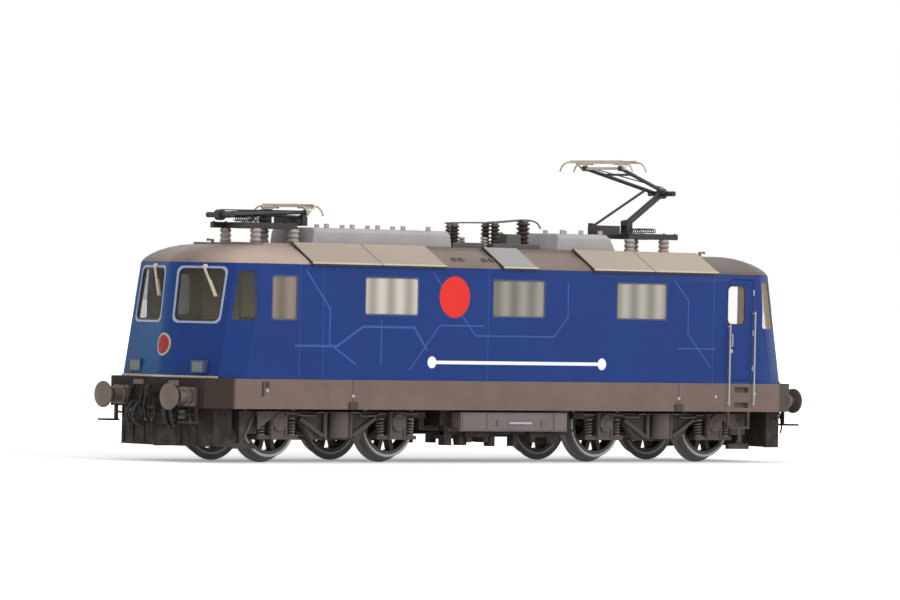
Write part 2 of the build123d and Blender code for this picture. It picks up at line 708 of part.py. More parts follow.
# Bogies: gearbox with pivot pin, two side frames with springs, and two wheelsets each
gearbox_half_length = 21.5
gearbox_half_width = 5.2
gearbox_span_z = (4.4, 14.5)
collar_diameter = 10.0
collar_top_z = body_base_z - pin_clearance
pivot_top_z = floor_top_z + 1.0
frame_in_y = 10.8
frame_thickness = 1.3
frame_top_z = 10.3
beam_bottom_z = 9.0
yoke_top_z = 5.5
frame_outline = [(-24.5, frame_top_z), (24.5, frame_top_z), (24.5, beam_bottom_z), (10.5, beam_bottom_z),
                 (6.5, 4.6), (-6.5, 4.6), (-10.5, beam_bottom_z), (-24.5, beam_bottom_z)]
axle_offsets = (-axle_spacing / 2, axle_spacing / 2)
gusset_outline = [(22.0, frame_top_z), (16.0, frame_top_z), (22.0, 6.6)]
gusset_y_span = (12.95, 13.2)
brake_spots = (-24.6, -7.6, 7.6, 24.6)
damper_offset = 3.4
spring_offset = 4.0
spring_radius = 1.0
spring_y = 11.9
axlebox = {"half_length": 2.3, "face_y": 12.9, "cap_y": 13.4, "cap_diameter": 3.6, "bottom": 4.7}
yoke = {"half_length": 5.4, "y_span": (11.2, 12.7)}
bolster = {"half_length": 4.0, "heights": (5.2, 8.0)}
brake_block = {"half_length": 0.7, "inner_y": 8.4, "heights": (6.6, 9.9)}
strut_y = 12.4
centre_post_y = 12.6
centre_post_diameter = 4.4
# Sanding gear at the outer end of each side frame: bracket, pipe and shoe
sander_pieces = [
    {"name": "bracket", "along": (21.4, 26.0), "y_span": (frame_in_y, 12.2), "heights": (5.8, frame_top_z)},
    {"name": "pipe", "along": (24.6, 25.6), "y_span": (10.9, 11.9), "heights": (2.8, 5.8)},
    {"name": "shoe", "along": (21.5, 27.6), "y_span": (10.9, 11.9), "heights": (2.8, 3.9)},
]


def spread(end, span):
    """Span along the bogie turned into a span along the locomotive."""
    return tuple(end * (bogie_x + value) for value in span)


def plate(end, side, outline, y_span):
    """Flat plate of one bogie side, outline given along the bogie, added to the part being built."""
    face = Plane(origin=(end * bogie_x, side * y_span[0], 0), x_dir=(end, 0, 0), z_dir=(0, -end, 0))
    with BuildSketch(face) as flat:
        with BuildLine():
            Polyline(outline, close=True)
        make_face()
    extrude(flat.sketch, amount=-end * side * (y_span[1] - y_span[0]))


def wheelset(name, x):
    """One axle with its two wheel centres, and its two tyres, as two pieces."""
    wheel_plane_y = back_to_back / 2
    axle_end_y = wheel_plane_y + wheel_width
    with BuildPart() as centres:
        cross_bar(x, axle_z, (-axle_end_y, axle_end_y), axle_diameter)
        for side in (-1, 1):
            cross_bar(x, axle_z, (side * (wheel_plane_y - 0.2), side * (axle_end_y - 0.2)), hub_diameter)
            with BuildSketch(Plane(origin=(x, side * (wheel_plane_y + 0.6), axle_z), x_dir=(1, 0, 0),
                                   z_dir=(0, side, 0))):
                with PolarLocations(0, spoke_count):
                    Rectangle(tyre_bore, spoke_width, align=(Align.MIN, Align.CENTER))
                Circle(hub_diameter / 2 - 0.1)
                Circle(tyre_bore / 2, mode=Mode.INTERSECT)
            extrude(amount=wheel_width - 1.2)
    save(centres.part, f"{name}_centres")
    with BuildPart() as tyres:
        for side in (-1, 1):
            with BuildSketch(Plane(origin=(x, 0, axle_z), x_dir=(0, 1, 0), z_dir=(1, 0, 0))):
                with BuildLine():
                    Polyline([(side * (wheel_plane_y + out), radius) for out, radius in (
                        (0, tyre_bore / 2), (0.25, flange_radius), (0.9, tread_diameter / 2 + 0.05),
                        (wheel_width, tread_diameter / 2 - 0.05), (wheel_width, tyre_bore / 2))], close=True)
                make_face()
            revolve(axis=Axis((x, 0, axle_z), (0, 1, 0)))
    save(tyres.part, f"{name}_tyres")


for end, bogie in ((-1, "bogie_front"), (1, "bogie_rear")):
    centre_x = end * bogie_x
    with BuildPart() as gearbox:
        block(spread(end, (-gearbox_half_length, gearbox_half_length)),
              (-gearbox_half_width, gearbox_half_width), gearbox_span_z)
        bar((centre_x, 0, gearbox_span_z[1]), (centre_x, 0, collar_top_z), collar_diameter)
        bar((centre_x, 0, collar_top_z), (centre_x, 0, pivot_top_z), pivot_diameter)
        for offset_x in axle_offsets:
            cross_bar(end * (bogie_x + offset_x), axle_z, (-gearbox_half_width, gearbox_half_width),
                      axle_diameter + 2 * axle_clearance, mode=Mode.SUBTRACT)
    save(gearbox.part, f"{bogie}_gearbox")

    for side, hand in ((-1, "right"), (1, "left")):
        with BuildPart() as side_frame:
            plate(end, side, frame_outline, (frame_in_y, frame_in_y + frame_thickness))
            plate(end, side, gusset_outline, gusset_y_span)
            block(spread(end, (gusset_outline[1][0], gusset_outline[0][0])),
                  (side * frame_in_y, side * gusset_y_span[1]), (beam_bottom_z + 0.2, frame_top_z))
            block(spread(end, (-bolster["half_length"], bolster["half_length"])),
                  (side * gearbox_half_width, side * frame_in_y), bolster["heights"])
            for offset_x in axle_offsets:
                block(spread(end, (offset_x - axlebox["half_length"], offset_x + axlebox["half_length"])),
                      (side * frame_in_y, side * axlebox["face_y"]), (axlebox["bottom"], frame_top_z))
                block(spread(end, (offset_x - yoke["half_length"], offset_x + yoke["half_length"])),
                      [side * y for y in yoke["y_span"]], (axlebox["bottom"], yoke_top_z))
                cross_bar(end * (bogie_x + offset_x), axle_z,
                          (side * axlebox["face_y"], side * axlebox["cap_y"]), axlebox["cap_diameter"])
            bar((centre_x, side * centre_post_y, 5.0), (centre_x, side * centre_post_y, frame_top_z),
                centre_post_diameter)
            for lean in (-1, 1):
                low_x, high_x = spread(end, (lean * 4.0, lean * 10.2))
                bar((low_x, side * strut_y, 5.4), (high_x, side * strut_y, beam_bottom_z), 1.0)
            for x in spread(end, (-damper_offset, damper_offset)):
                bar((x, side * 12.5, 5.0), (x, side * 12.5, frame_top_z - 0.1), 1.0)
            for spot in brake_spots:
                block(spread(end, (spot - brake_block["half_length"], spot + brake_block["half_length"])),
                      (side * brake_block["inner_y"], side * frame_in_y), brake_block["heights"])
            for piece in sander_pieces:
                block(spread(end, piece["along"]), [side * y for y in piece["y_span"]], piece["heights"])
        save(side_frame.part, f"{bogie}_frame_{hand}")

    with BuildPart() as springs:
        for side in (-1, 1):
            for offset_x in axle_offsets:
                for step in (-spring_offset, spring_offset):
                    insulator(end * (bogie_x + offset_x + step), side * spring_y, yoke_top_z, spring_radius,
                              beam_bottom_z - yoke_top_z)
    save(springs.part, f"{bogie}_springs")

    for offset_x, place in zip(axle_offsets, ("inner", "outer")):
        wheelset(f"{bogie}_{place}_wheelset", end * (bogie_x + offset_x))

# Pantographs. Each is set out from its lower arm pivot: x outwards, z up. The lower arm leans at one angle
# and the upper arm, guide rod and head follow in fixed shares of its rise from the folded angle.
pivot_z = 50.0
lower_arm_length = 12.2
upper_arm_length = 18.2
fold_lower = -3.0
fold_upper = 3.0
fold_rod = 0.6
upper_share = 0.35
rod_share = 0.75
rod_foot = (-8.4, -0.6)
rod_length = 16.65
rod_y = 1.45
lower_tube = 1.4
upper_tube = 0.8
shaft_diameter = 0.8
knee_diameter = 1.1
head_shaft_diameter = 0.6
head_eye_diameter = 1.2
rod_pin_diameter = 0.4
brace_share = 0.75
strip_gap = 4.0
strip_lift = 1.4
strip_half_width = 0.4
horn_length = 3.0
horn_drop = 1.9
horn_diameter = 0.5
knee_half_width = 1.6
head_half_width = 5.4
base_bottom_z = 46.8
base_top_z = 48.0
base_half_width = 4.6
foot_offsets = (-3.5, 6.6)
foot_radius = 1.2
drive_bottom_z = 47.6
pantographs = [
    {"name": "pantograph_front", "end": -1, "pivot_x": 54.7 * stretch, "lean": fold_lower, "collector": 17.0},
    {"name": "pantograph_rear", "end": 1, "pivot_x": 47.0 * stretch, "lean": 33.0, "collector": 22.0},
]

with BuildPart() as pantograph_insulators:
    for pantograph in pantographs:
        for x in foot_offsets:
            for side in (-1, 1):
                insulator(pantograph["end"] * (pantograph["pivot_x"] + x), side * base_half_width, deck_z,
                          foot_radius, base_bottom_z - deck_z)
save(pantograph_insulators.part, "pantograph_insulators")

for pantograph in pantographs:
    name, end = pantograph["name"], pantograph["end"]
    rise = pantograph["lean"] - fold_lower
    lower_lean = radians(pantograph["lean"])
    upper_lean = radians(fold_upper + upper_share * rise)
    rod_lean = radians(fold_rod + rod_share * rise)
    knee = (lower_arm_length * cos(lower_lean), lower_arm_length * sin(lower_lean))
    head = (knee[0] - upper_arm_length * cos(upper_lean), knee[1] + upper_arm_length * sin(upper_lean))
    rod_end = (rod_foot[0] + rod_length * cos(rod_lean), rod_foot[1] + rod_length * sin(rod_lean))

    def at(x, y, z):
        """Point set out from the pivot turned into a point of the locomotive."""
        return (end * (pantograph["pivot_x"] + x), end * y, pivot_z + z)

    def panel(x_span, y_span, z_span):
        """Box set out from the pivot, heights from the flanges."""
        block([end * (pantograph["pivot_x"] + x) for x in x_span], [end * y for y in y_span], z_span)

    def pin(point, y_span, diameter, mode=Mode.ADD):
        """Round bar across the pantograph at one point set out from the pivot."""
        bar(*(at(point[0], y, point[1]) for y in y_span), diameter, mode=mode)

    with BuildPart() as base:
        for side in (-1, 1):
            panel((-4.1, 10.3), (side * (base_half_width - 0.5), side * (base_half_width + 0.5)),
                  (base_bottom_z, base_top_z))
            panel((-0.8, 0.8), (side * 0.75, side * 1.0), (base_top_z, pivot_z + 0.7))
        for x in foot_offsets + (0.0,):
            panel((x - 0.6, x + 0.6), (-base_half_width, base_half_width), (base_bottom_z, base_top_z))
        panel((-11.0, -3.0), (-3.4, 0.4), (drive_bottom_z, base_top_z))
        panel((-11.0, -5.2), (-3.4, 0.4), (base_top_z, pivot_z - 0.5))
        panel((-9.0, -7.8), (0.4, 2.4), (drive_bottom_z, base_top_z))
        panel((-9.0, -7.8), (1.95, 2.4), (base_top_z, pivot_z))
        pin((0, 0), (-1.0, 1.0), shaft_diameter)
        pin(rod_foot, (1.0, 2.4), rod_pin_diameter)
    save(base.part, f"{name}_base")

    with BuildPart() as lower_arm:
        bar(at(0, 0, 0), at(knee[0], 0, knee[1]), lower_tube)
        pin((0, 0), (-0.65, 0.65), 1.8)
        pin(knee, (-0.7, 0.7), 2.2)
        pin((0, 0), (-0.7, 0.7), shaft_diameter + 2 * pin_clearance, mode=Mode.SUBTRACT)
        pin(knee, (-0.8, 0.8), knee_diameter + 2 * pin_clearance, mode=Mode.SUBTRACT)
    save(lower_arm.part, f"{name}_lower_arm")

    with BuildPart() as guide_rod:
        bar(at(rod_foot[0], rod_y, rod_foot[1]), at(rod_end[0], rod_y, rod_end[1]), 0.55)
        pin(rod_foot, (rod_y - 0.3, rod_y + 0.3), 1.0)
        pin(rod_foot, (rod_y - 0.4, rod_y + 0.4), rod_pin_diameter + 2 * pin_clearance, mode=Mode.SUBTRACT)
    save(guide_rod.part, f"{name}_guide_rod")

    with BuildPart() as upper_arm:
        pin(knee, (-3.75, 3.75), knee_diameter)
        for side in (-1, 1):
            head_y = side * head_half_width
            bar(at(knee[0], side * knee_half_width, knee[1]), at(head[0], head_y, head[1]), upper_tube)
            pin(head, (head_y - 0.4, head_y + 0.4), head_eye_diameter)
        brace = [low + (high - low) * brace_share for low, high in zip(knee, head)]
        brace_y = knee_half_width + (head_half_width - knee_half_width) * brace_share
        pin(brace, (-brace_y, brace_y), 0.5)
        for head_y in (-head_half_width, head_half_width):
            pin(head, (head_y - 0.7, head_y + 0.7), head_shaft_diameter + 2 * pin_clearance,
                mode=Mode.SUBTRACT)
    save(upper_arm.part, f"{name}_upper_arm")

    with BuildPart() as collector:
        pin(head, (-6.6, 6.6), head_shaft_diameter)
        reach = pantograph["collector"] / 2
        flat = reach - horn_length
        strip_z = head[1] + strip_lift
        for strip_x in (head[0] - strip_gap / 2, head[0] + strip_gap / 2):
            panel((strip_x - strip_half_width, strip_x + strip_half_width), (-flat, flat),
                  (pivot_z + strip_z - 0.25, pivot_z + strip_z + 0.3))
            for side in (-1, 1):
                root = at(strip_x, side * (flat - 0.2), strip_z)
                bend = at(strip_x, side * (reach - 1.0), strip_z - 0.5)
                bar(at(head[0], side * 6.3, head[1]), at(strip_x, side * 6.3, strip_z), 0.5)
                bar(root, bend, horn_diameter)
                with Locations(bend):
                    Sphere(horn_diameter / 2)
                bar(bend, at(strip_x, side * reach, strip_z - horn_drop), horn_diameter)
    save(collector.part, f"{name}_collector")
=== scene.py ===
"""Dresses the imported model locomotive: finishes for every piece, fine detail, stage, light and camera."""
import json
from itertools import product
from math import radians

import bmesh
import bpy
import numpy as np
from mathutils import Matrix, Vector


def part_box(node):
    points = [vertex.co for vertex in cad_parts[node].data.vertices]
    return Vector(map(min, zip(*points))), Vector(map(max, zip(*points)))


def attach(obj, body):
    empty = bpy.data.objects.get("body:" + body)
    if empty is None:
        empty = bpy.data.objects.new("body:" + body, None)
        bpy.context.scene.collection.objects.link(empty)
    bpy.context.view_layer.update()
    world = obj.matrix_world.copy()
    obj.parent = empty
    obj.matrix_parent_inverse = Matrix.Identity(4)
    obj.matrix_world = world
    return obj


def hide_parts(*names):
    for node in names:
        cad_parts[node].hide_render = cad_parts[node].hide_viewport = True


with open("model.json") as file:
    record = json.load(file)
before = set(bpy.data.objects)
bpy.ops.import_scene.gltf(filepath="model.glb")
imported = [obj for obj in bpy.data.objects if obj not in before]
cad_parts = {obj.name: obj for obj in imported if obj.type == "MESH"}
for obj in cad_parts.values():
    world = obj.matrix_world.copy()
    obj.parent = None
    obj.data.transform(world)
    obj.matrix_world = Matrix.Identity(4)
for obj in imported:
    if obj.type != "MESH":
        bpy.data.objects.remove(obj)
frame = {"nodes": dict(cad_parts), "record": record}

MM = 0.001
# Distances in metres at which points are merged and faces count as flat; angles in degrees of edges that
# stay sharp, of edges that are rounded, and between faces that are joined
MERGE = {"surface": 2e-6, "solid": 1.5e-6}
FLAT = 1e-6
SHARP_ANGLE, ROUND_ANGLE, JOIN_ANGLE = 35.0, 32.0, 0.6
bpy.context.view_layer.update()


# Surfaces worked out as whole arrays

def quads(rows, cols, wrap_rows):
    """Index quads between neighbouring points of a grid. Columns close on themselves, rows where asked."""
    row = np.arange(rows if wrap_rows else rows - 1)[:, None]
    col = np.arange(cols)[None, :]
    next_row, next_col = (row + 1) % rows, (col + 1) % cols
    corners = [row * cols + col, row * cols + next_col, next_row * cols + next_col, next_row * cols + col]
    return np.stack(np.broadcast_arrays(*corners), -1).reshape(-1, 4)


def surface_object(name, grids):
    """One object from several point grids (rows, cols, 3) in millimetres. Columns close on themselves; a row
    whose points all meet is a pole. Doubles are merged, then faces are turned outwards."""
    points, faces, first = [], [], 0
    for grid, wrap_rows in grids:
        rows, cols = grid.shape[:2]
        points.append(grid.reshape(-1, 3) * MM)
        faces.append(quads(rows, cols, wrap_rows) + first)
        first += rows * cols
    mesh = bpy.data.meshes.new(name)
    mesh.from_pydata(np.concatenate(points).tolist(), [], np.concatenate(faces).tolist())
    bm = merged(mesh, MERGE["surface"])
    bmesh.ops.recalc_face_normals(bm, faces=bm.faces)
    return linked(name, bm, mesh, SHARP_ANGLE)


def merged(mesh, distance):
    """Editable copy of a mesh, with doubles merged and flat faces dropped."""
    bm = bmesh.new()
    bm.from_mesh(mesh)
    bmesh.ops.remove_doubles(bm, verts=bm.verts, dist=distance)
    bmesh.ops.dissolve_degenerate(bm, edges=bm.edges, dist=FLAT)
    return bm


def linked(name, bm, mesh, sharp_angle):
    """Object in the scene from an edited mesh: smooth, but for edges sharper than sharp_angle."""
    bm.to_mesh(mesh)
    bm.free()
    mesh.polygons.foreach_set("use_smooth", np.ones(len(mesh.polygons), bool))
    mesh.set_sharp_from_angle(angle=radians(sharp_angle))
    made = bpy.data.objects.new(name, mesh)
    bpy.context.scene.collection.objects.link(made)
    return made


def pole(point, cols):
    """A row of one repeated point, which closes the end of a surface."""
    return np.repeat(np.asarray(point, float)[None, None, :], cols, 1)


def carried(path, profile):
    """Profile (m, 2) carried along a path (n, 3): each path point plus the profile in its cross frame, whose
    first axis is the tangent crossed with the direction least along the path. Both ends are closed."""
    path = np.asarray(path, float)
    tangent = np.gradient(path, axis=0)
    tangent /= np.linalg.norm(tangent, axis=1, keepdims=True)
    guide = np.eye(3)[np.argmin(np.abs(tangent).mean(0))]
    across = np.cross(tangent, guide)
    across /= np.linalg.norm(across, axis=1, keepdims=True)
    up = np.cross(across, tangent)
    body = path[:, None] + across[:, None] * profile[None, :, :1] + up[:, None] * profile[None, :, 1:]
    cols = profile.shape[0]
    return np.concatenate([pole(path[0], cols), body, pole(path[-1], cols)]), False


def ring_profile(radius, count):
    """Circle of points, cosine and sine of the turn times the radius."""
    turn = np.linspace(0, 2 * np.pi, count, endpoint=False)
    return np.stack([np.cos(turn), np.sin(turn)], -1) * radius


def tube(path, radius, count):
    """Round bar along a path."""
    return carried(path, ring_profile(radius, count))


def strip(path, width, height):
    """Flat bar of rectangular section along a path."""
    profile = np.array([[-1, -1], [1, -1], [1, 1], [-1, 1]], float) * [width / 2, height / 2]
    return carried(path, profile)


def smooth_path(points, count):
    """Curve through a few points: cubics whose end slopes are half the neighbours' difference."""
    p = np.asarray(points, float)
    p = np.concatenate([2 * p[:1] - p[1:2], p, 2 * p[-1:] - p[-2:-1]])
    spans = len(p) - 3
    t = np.linspace(0, spans, count)
    i = np.minimum(t.astype(int), spans - 1)
    u = (t - i)[:, None]
    a, b, c, d = p[i], p[i + 1], p[i + 2], p[i + 3]
    bend, twist = 2 * a - 5 * b + 4 * c - d, 3 * b - a - 3 * c + d
    return 0.5 * (2 * b + (c - a) * u + bend * u ** 2 + twist * u ** 3)


def turned(outline, origin, axis, count):
    """Outline of (along, radius) pairs turned about an axis through origin: radius times cosine and sine
    across the axis, along the axis by the first number."""
    outline = np.asarray(outline, float)
    axis = np.asarray(axis, float) / np.linalg.norm(axis)
    guide = np.eye(3)[np.argmin(np.abs(axis))]
    first = np.cross(axis, guide)
    first /= np.linalg.norm(first)
    second = np.cross(axis, first)
    turn = np.linspace(0, 2 * np.pi, count, endpoint=False)
    radial = np.cos(turn)[:, None] * first + np.sin(turn)[:, None] * second
    grid = np.asarray(origin, float) + outline[:, None, :1] * axis + outline[:, None, 1:] * radial[None]
    return grid, False


def box_grid(corner, opposite):
    """Closed box between two opposite corners: a closed rectangle at each end of its longest side."""
    corner, opposite = np.asarray(corner, float), np.asarray(opposite, float)
    low, high = np.minimum(corner, opposite), np.maximum(corner, opposite)
    span = high - low
    lead = int(np.argmax(span))
    a, b = [i for i in range(3) if i != lead]
    square = np.array([[0, 0], [1, 0], [1, 1], [0, 1]], float)
    rows = np.empty((2, 4, 3))
    for k, level in enumerate((low[lead], high[lead])):
        rows[k, :, lead] = level
        rows[k, :, a] = low[a] + square[:, 0] * span[a]
        rows[k, :, b] = low[b] + square[:, 1] * span[b]
    ends = [pole(rows[k].mean(0), 4) for k in (0, 1)]
    return np.concatenate([ends[0], rows, ends[1]]), False


def helix(x, y, low_z, high_z, radius, turns, per_turn=14):
    """Coil path: cosine and sine of the turn times the radius, rising evenly."""
    turn = np.linspace(0, 2 * np.pi * turns, int(turns * per_turn) + 1)
    rise = np.linspace(low_z, high_z, len(turn))
    return np.stack([x + radius * np.cos(turn), y + radius * np.sin(turn), rise], -1)


def dressed(node, bevel):
    """Copy of one solid's mesh that stands for it: flat faces joined, edges rounded by bevel mm."""
    mesh = frame["nodes"][node].data.copy()
    mesh.materials.clear()
    bm = merged(mesh, MERGE["solid"])
    bmesh.ops.dissolve_limit(bm, angle_limit=radians(JOIN_ANGLE), verts=bm.verts, edges=bm.edges)
    made = linked(node + "_finish", bm, mesh, ROUND_ANGLE)
    rounding = made.modifiers.new("rounding", "BEVEL")
    rounding.width = bevel * MM
    rounding.segments = 2
    rounding.limit_method = "ANGLE"
    rounding.angle_limit = radians(ROUND_ANGLE)
    rounding.harden_normals = True
    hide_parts(node)
    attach(made, BODY_OF[node])
    dress(made, SLOT_OF[node])


def dress(piece, slot):
    """Gives a piece the finish of one slot of the record."""
    piece.data.materials.clear()
    piece.data.materials.append(FINISH[slot])
    return piece


def fitted(name, grids, body, slot):
    """New piece from grids that rides on a body and takes a slot's finish."""
    made = surface_object(name, grids)
    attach(made, body)
    return dress(made, slot)


BODY_OF = {node: body for body, nodes in frame["record"]["behaviour"]["bodies"].items() for node in nodes}
SLOT_OF = {row["node"]: row["material_slot"] for row in frame["record"]["subparts"]}
# Tone of a slot under the photograph's light, laid on the record's colour
TONE = {
    "body_blue": (0.70, 0.96, 0.72), "roof_brown": (0.86, 0.75, 0.77), "hatch_beige": (0.84, 0.81, 0.88),
    "skirt_grey": (0.80, 0.68, 0.70), "underframe_dark": (0.60, 0.50, 0.48), "bogie_grey": (0.55, 0.49, 0.48),
    "wheel_dark": (0.50, 0.46, 0.45), "buffer_grey": (1.60, 1.25, 1.15), "cab_olive": (0.50, 0.46, 0.50),
    "frame_silver": (0.40, 0.46, 0.64), "rail_white": (0.64, 0.64, 0.72), "light_grey": (1.00, 0.88, 0.74),
    "lamp_grey": (0.55, 0.60, 1.00), "collector_bronze": (1.20, 1.25, 1.30),
    "insulator_grey": (1.25, 1.20, 1.15), "insulator_brown": (0.70, 0.75, 0.80),
    "spring_grey": (0.62, 0.56, 0.54),
}
COLOUR_OF = {
    row["slot"]: [base * tone for base, tone in zip(row["base_color"], TONE.get(row["slot"], (1, 1, 1)))]
    for row in frame["record"]["materials"]
}


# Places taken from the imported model, in mm

def span_mm(node):
    """Lowest and highest corner of one solid, in millimetres."""
    return [np.array(corner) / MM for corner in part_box(node)]


JOINT_AT = {row["name"]: np.array(row["pos_m"]) / MM for row in frame["record"]["behaviour"]["joints"]}
END_X = span_mm("headstocks")[1][0]
BUFFER_FACE_X = span_mm("buffers")[1][0]
SIDE_Y = span_mm("body_shell")[1][1]
BODY_LOW_Z, BODY_HIGH_Z = (corner[2] for corner in span_mm("body_shell"))
SKIRT_LOW_Z = span_mm("solebars")[0][2]
DECK_Z = span_mm("pantograph_insulators")[0][2]
BOGIES = {"bogie_front": -1, "bogie_rear": 1}
PANTOGRAPHS = {"pantograph_front": -1, "pantograph_rear": 1}
BOGIE_X = JOINT_AT["bogie_rear_swivel"][0]
AXLE_OFFSET = JOINT_AT["bogie_rear_outer_wheelset_roll"][0] - BOGIE_X
AXLE_Z = JOINT_AT["bogie_rear_outer_wheelset_roll"][2]
# The photographed side and the far one, which is the same turned half round: factor on x and, negated, on y
TURNS = (1, -1)
# Kinds of ray that see floor and surroundings as they are, not as light
SEEN_BY = ("Is Camera Ray", "Is Glossy Ray", "Is Transmission Ray")

# Windows, as cut in the body
WINDSCREEN = {"inner": 1.7, "outer": 13.0, "sill": 27.6, "head": 39.0, "frame": 0.45}
DOOR_WINDOW = {"x": END_X - 19.3, "width": 5.2, "sill": 29.2, "head": 37.4, "radius": 1.2}

# Marks on the sides: along the body to the right as seen from that side, and height, in mm
RED_DISC = {"along": -18.0, "z": 33.8, "radius": 4.2}
WHITE_LINE = {"z": 20.5, "half_length": 24.0, "half_width": 0.32, "knob": 1.2}
LINE_RUNS = [
    [(-58.5, 38.5), (-52.0, 31.0), (-52.0, 24.0), (-45.0, 20.0)],
    [(-61.0, 23.5), (-50.0, 23.5), (-43.0, 27.5), (-29.0, 27.5), (-25.5, 23.0)],
    [(-38.0, 20.0), (-38.0, 28.8)],
    [(-30.0, 19.0), (-22.0, 28.0), (-10.0, 28.0)],
    [(-24.0, 38.6), (-12.0, 26.0), (10.0, 26.0), (14.0, 30.0), (14.0, 37.0)],
    [(45.0, 38.0), (49.0, 34.0), (49.0, 27.0), (56.0, 20.0)],
    [(46.0, 24.0), (57.0, 24.0)],
]
LINE_HALF_WIDTHS = (0.16, 0.22, 0.12, 0.12, 0.12, 0.12, 0.12)
SEAMS = {"along": (-60.0, -53.8, 56.5, -8.5), "span": (17.0, 39.4), "half_width": 0.06}
NOSE_PLATE = {"z": 23.3, "half_width": 2.0, "half_height": 2.3, "proud": 0.16}


class Finish:
    """One procedural material on Object coordinates, with short calls for its nodes."""

    def __init__(self, name):
        self.material = bpy.data.materials.new(name)
        self.material.use_nodes = True
        self.tree = self.material.node_tree
        self.shader = self.tree.nodes["Principled BSDF"]
        self.place = self.add("ShaderNodeTexCoord").outputs["Object"]

    def add(self, kind, inputs=(), **settings):
        """New node with its settings, and with values or links on its inputs."""
        node = self.tree.nodes.new(kind)
        for key, value in settings.items():
            setattr(node, key, value)
        for socket, value in dict(inputs).items():
            self.feed(node.inputs[socket], value)
        return node

    def feed(self, socket, value):
        """Links an output to a socket, or sets a plain value on it."""
        if isinstance(value, bpy.types.NodeSocket):
            self.tree.links.new(value, socket)
        else:
            socket.default_value = value

    def sum(self, operation, *terms):
        """One step of arithmetic on outputs or plain values."""
        node = self.add("ShaderNodeMath", operation=operation)
        for socket, value in zip(node.inputs, terms):
            self.feed(socket, value)
        return node.outputs[0]

    def chain(self, operation, terms):
        """One operation carried through several terms."""
        first, *others = terms
        for term in others:
            first = self.sum(operation, first, term)
        return first

    def both(self, *shares):
        """Product of shares: where all of them hold."""
        return self.chain("MULTIPLY", shares)

    def either(self, *shares):
        """Largest of shares: where any of them holds."""
        return self.chain("MAXIMUM", shares)

    def root_of_squares(self, first, second):
        """Root of the sum of two squares."""
        squares = [self.sum("POWER", self.sum("ABSOLUTE", term), 2.0) for term in (first, second)]
        return self.sum("SQRT", self.sum("ADD", *squares))

    def places(self):
        """The three measures of place, in millimetres."""
        split = self.add("ShaderNodeSeparateXYZ", {0: self.place}).outputs
        return [self.sum("DIVIDE", split[k], MM) for k in range(3)]

    def rightward(self, measure, side):
        """A measure with its sign turned where side is positive: to the right as seen from that side."""
        return self.sum("MULTIPLY", measure, self.sum("MULTIPLY", self.sum("SIGN", side), -1.0))

    def noise(self, per_metre, detail=2.0, stretch=None):
        """Smooth random pattern with about per_metre bumps to the metre, from 0 to 1."""
        place = self.place
        if stretch:
            place = self.add("ShaderNodeMapping", {"Vector": place, "Scale": stretch}).outputs[0]
        inputs = {"Vector": place, "Scale": per_metre, "Detail": detail}
        return self.add("ShaderNodeTexNoise", inputs).outputs["Fac"]

    def between(self, value, low, high):
        """Value drawn out so that low gives 0 and high gives 1, held outside."""
        return self.add("ShaderNodeMapRange", {"Value": value, "From Min": low, "From Max": high}).outputs[0]

    def tint(self, share, under, over):
        """Colour over laid on colour under by a share."""
        node = self.add("ShaderNodeMix", data_type="RGBA")
        self.feed(node.inputs[0], share)
        for socket, value in ((node.inputs[6], under), (node.inputs[7], over)):
            self.feed(socket, value if isinstance(value, bpy.types.NodeSocket) else (*value, 1.0))
        return node.outputs[2]

    def bump(self, height, strength, distance_mm):
        """Fine relief from a height pattern."""
        inputs = {"Height": height, "Strength": strength, "Distance": distance_mm * MM}
        node = self.add("ShaderNodeBump", inputs)
        self.feed(self.shader.inputs["Normal"], node.outputs[0])

    def set(self, **values):
        """Sets shader sockets; underscores in a name stand for spaces."""
        for key, value in values.items():
            self.feed(self.shader.inputs[key.replace("_", " ")], value)


def shade(colour, factor):
    """A colour made lighter or darker."""
    return tuple(min(1.0, c * factor) for c in colour[:3])


# Slots whose tone changes with place, on several of them as painted light and shade: measure, start and
# end in mm, factor beyond the end. "x", "y" and "z" are the distance from the middle; "turn" is the
# distance to the right as seen from either side.
FADE = {
    # Bogie frames: outer faces lighter as painted light, inboard parts darker as painted shade
    "bogie_grey": [("y", 12.2, 13.1, 2.3)],
    # Skirt: painted shade on the tapered corners at the ends
    "skirt_grey": [("x", 76.4, 77.4, 0.27)],
    "hood_grey": [("y", 8.0, 10.0, 0.80)],
    # Roof: painted highlight towards the left end, painted shade towards the right end, as seen from either
    # side
    "roof_brown": [("turn", -18.0, -60.0, 2.3), ("turn", 20.0, 60.0, 0.66)],
    # Hatches: painted shade towards the left end, painted light towards the right end, as seen from either
    # side
    "hatch_beige": [("turn", -10.0, -40.0, 0.92), ("turn", 10.0, 40.0, 1.10)],
    "underframe_dark": [("y", 15.9, 16.4, 2.8)],
    # Cab furniture: lighter lower down as painted light falling in through the windows, darker above as
    # painted shade
    "cab_olive": [("z", 35.0, 28.0, 2.6)],
}
SHEEN = {"skirt_grey": 0.04, "underframe_dark": 0.12, "bogie_grey": 0.15, "roof_brown": 0.2}
PLAIN_SHEEN = 0.3

# Random patterns: bumps to the metre and detail, and the part of the pattern that is drawn out to a share
CLOUD = {"noise": (160, 3), "span": (0.3, 0.7)}
SPECKLE = {"noise": (2600, 2), "span": (0.52, 0.75), "lift": 2.2, "gloss": 0.16}
DUST = {"colour": (0.17, 0.14, 0.12), "height": (13, 1), "noise": (420, 4), "span": (0.42, 0.68)}
# Fine relief: strength, and height in mm
BUMP = {"plain": (0.25, 0.03), "tyre": (0.2, 0.03), "livery": (0.06, 0.02), "frosted": (0.1, 0.02),
        "clear": (0.04, 0.05), "lamp": (0.3, 0.05)}


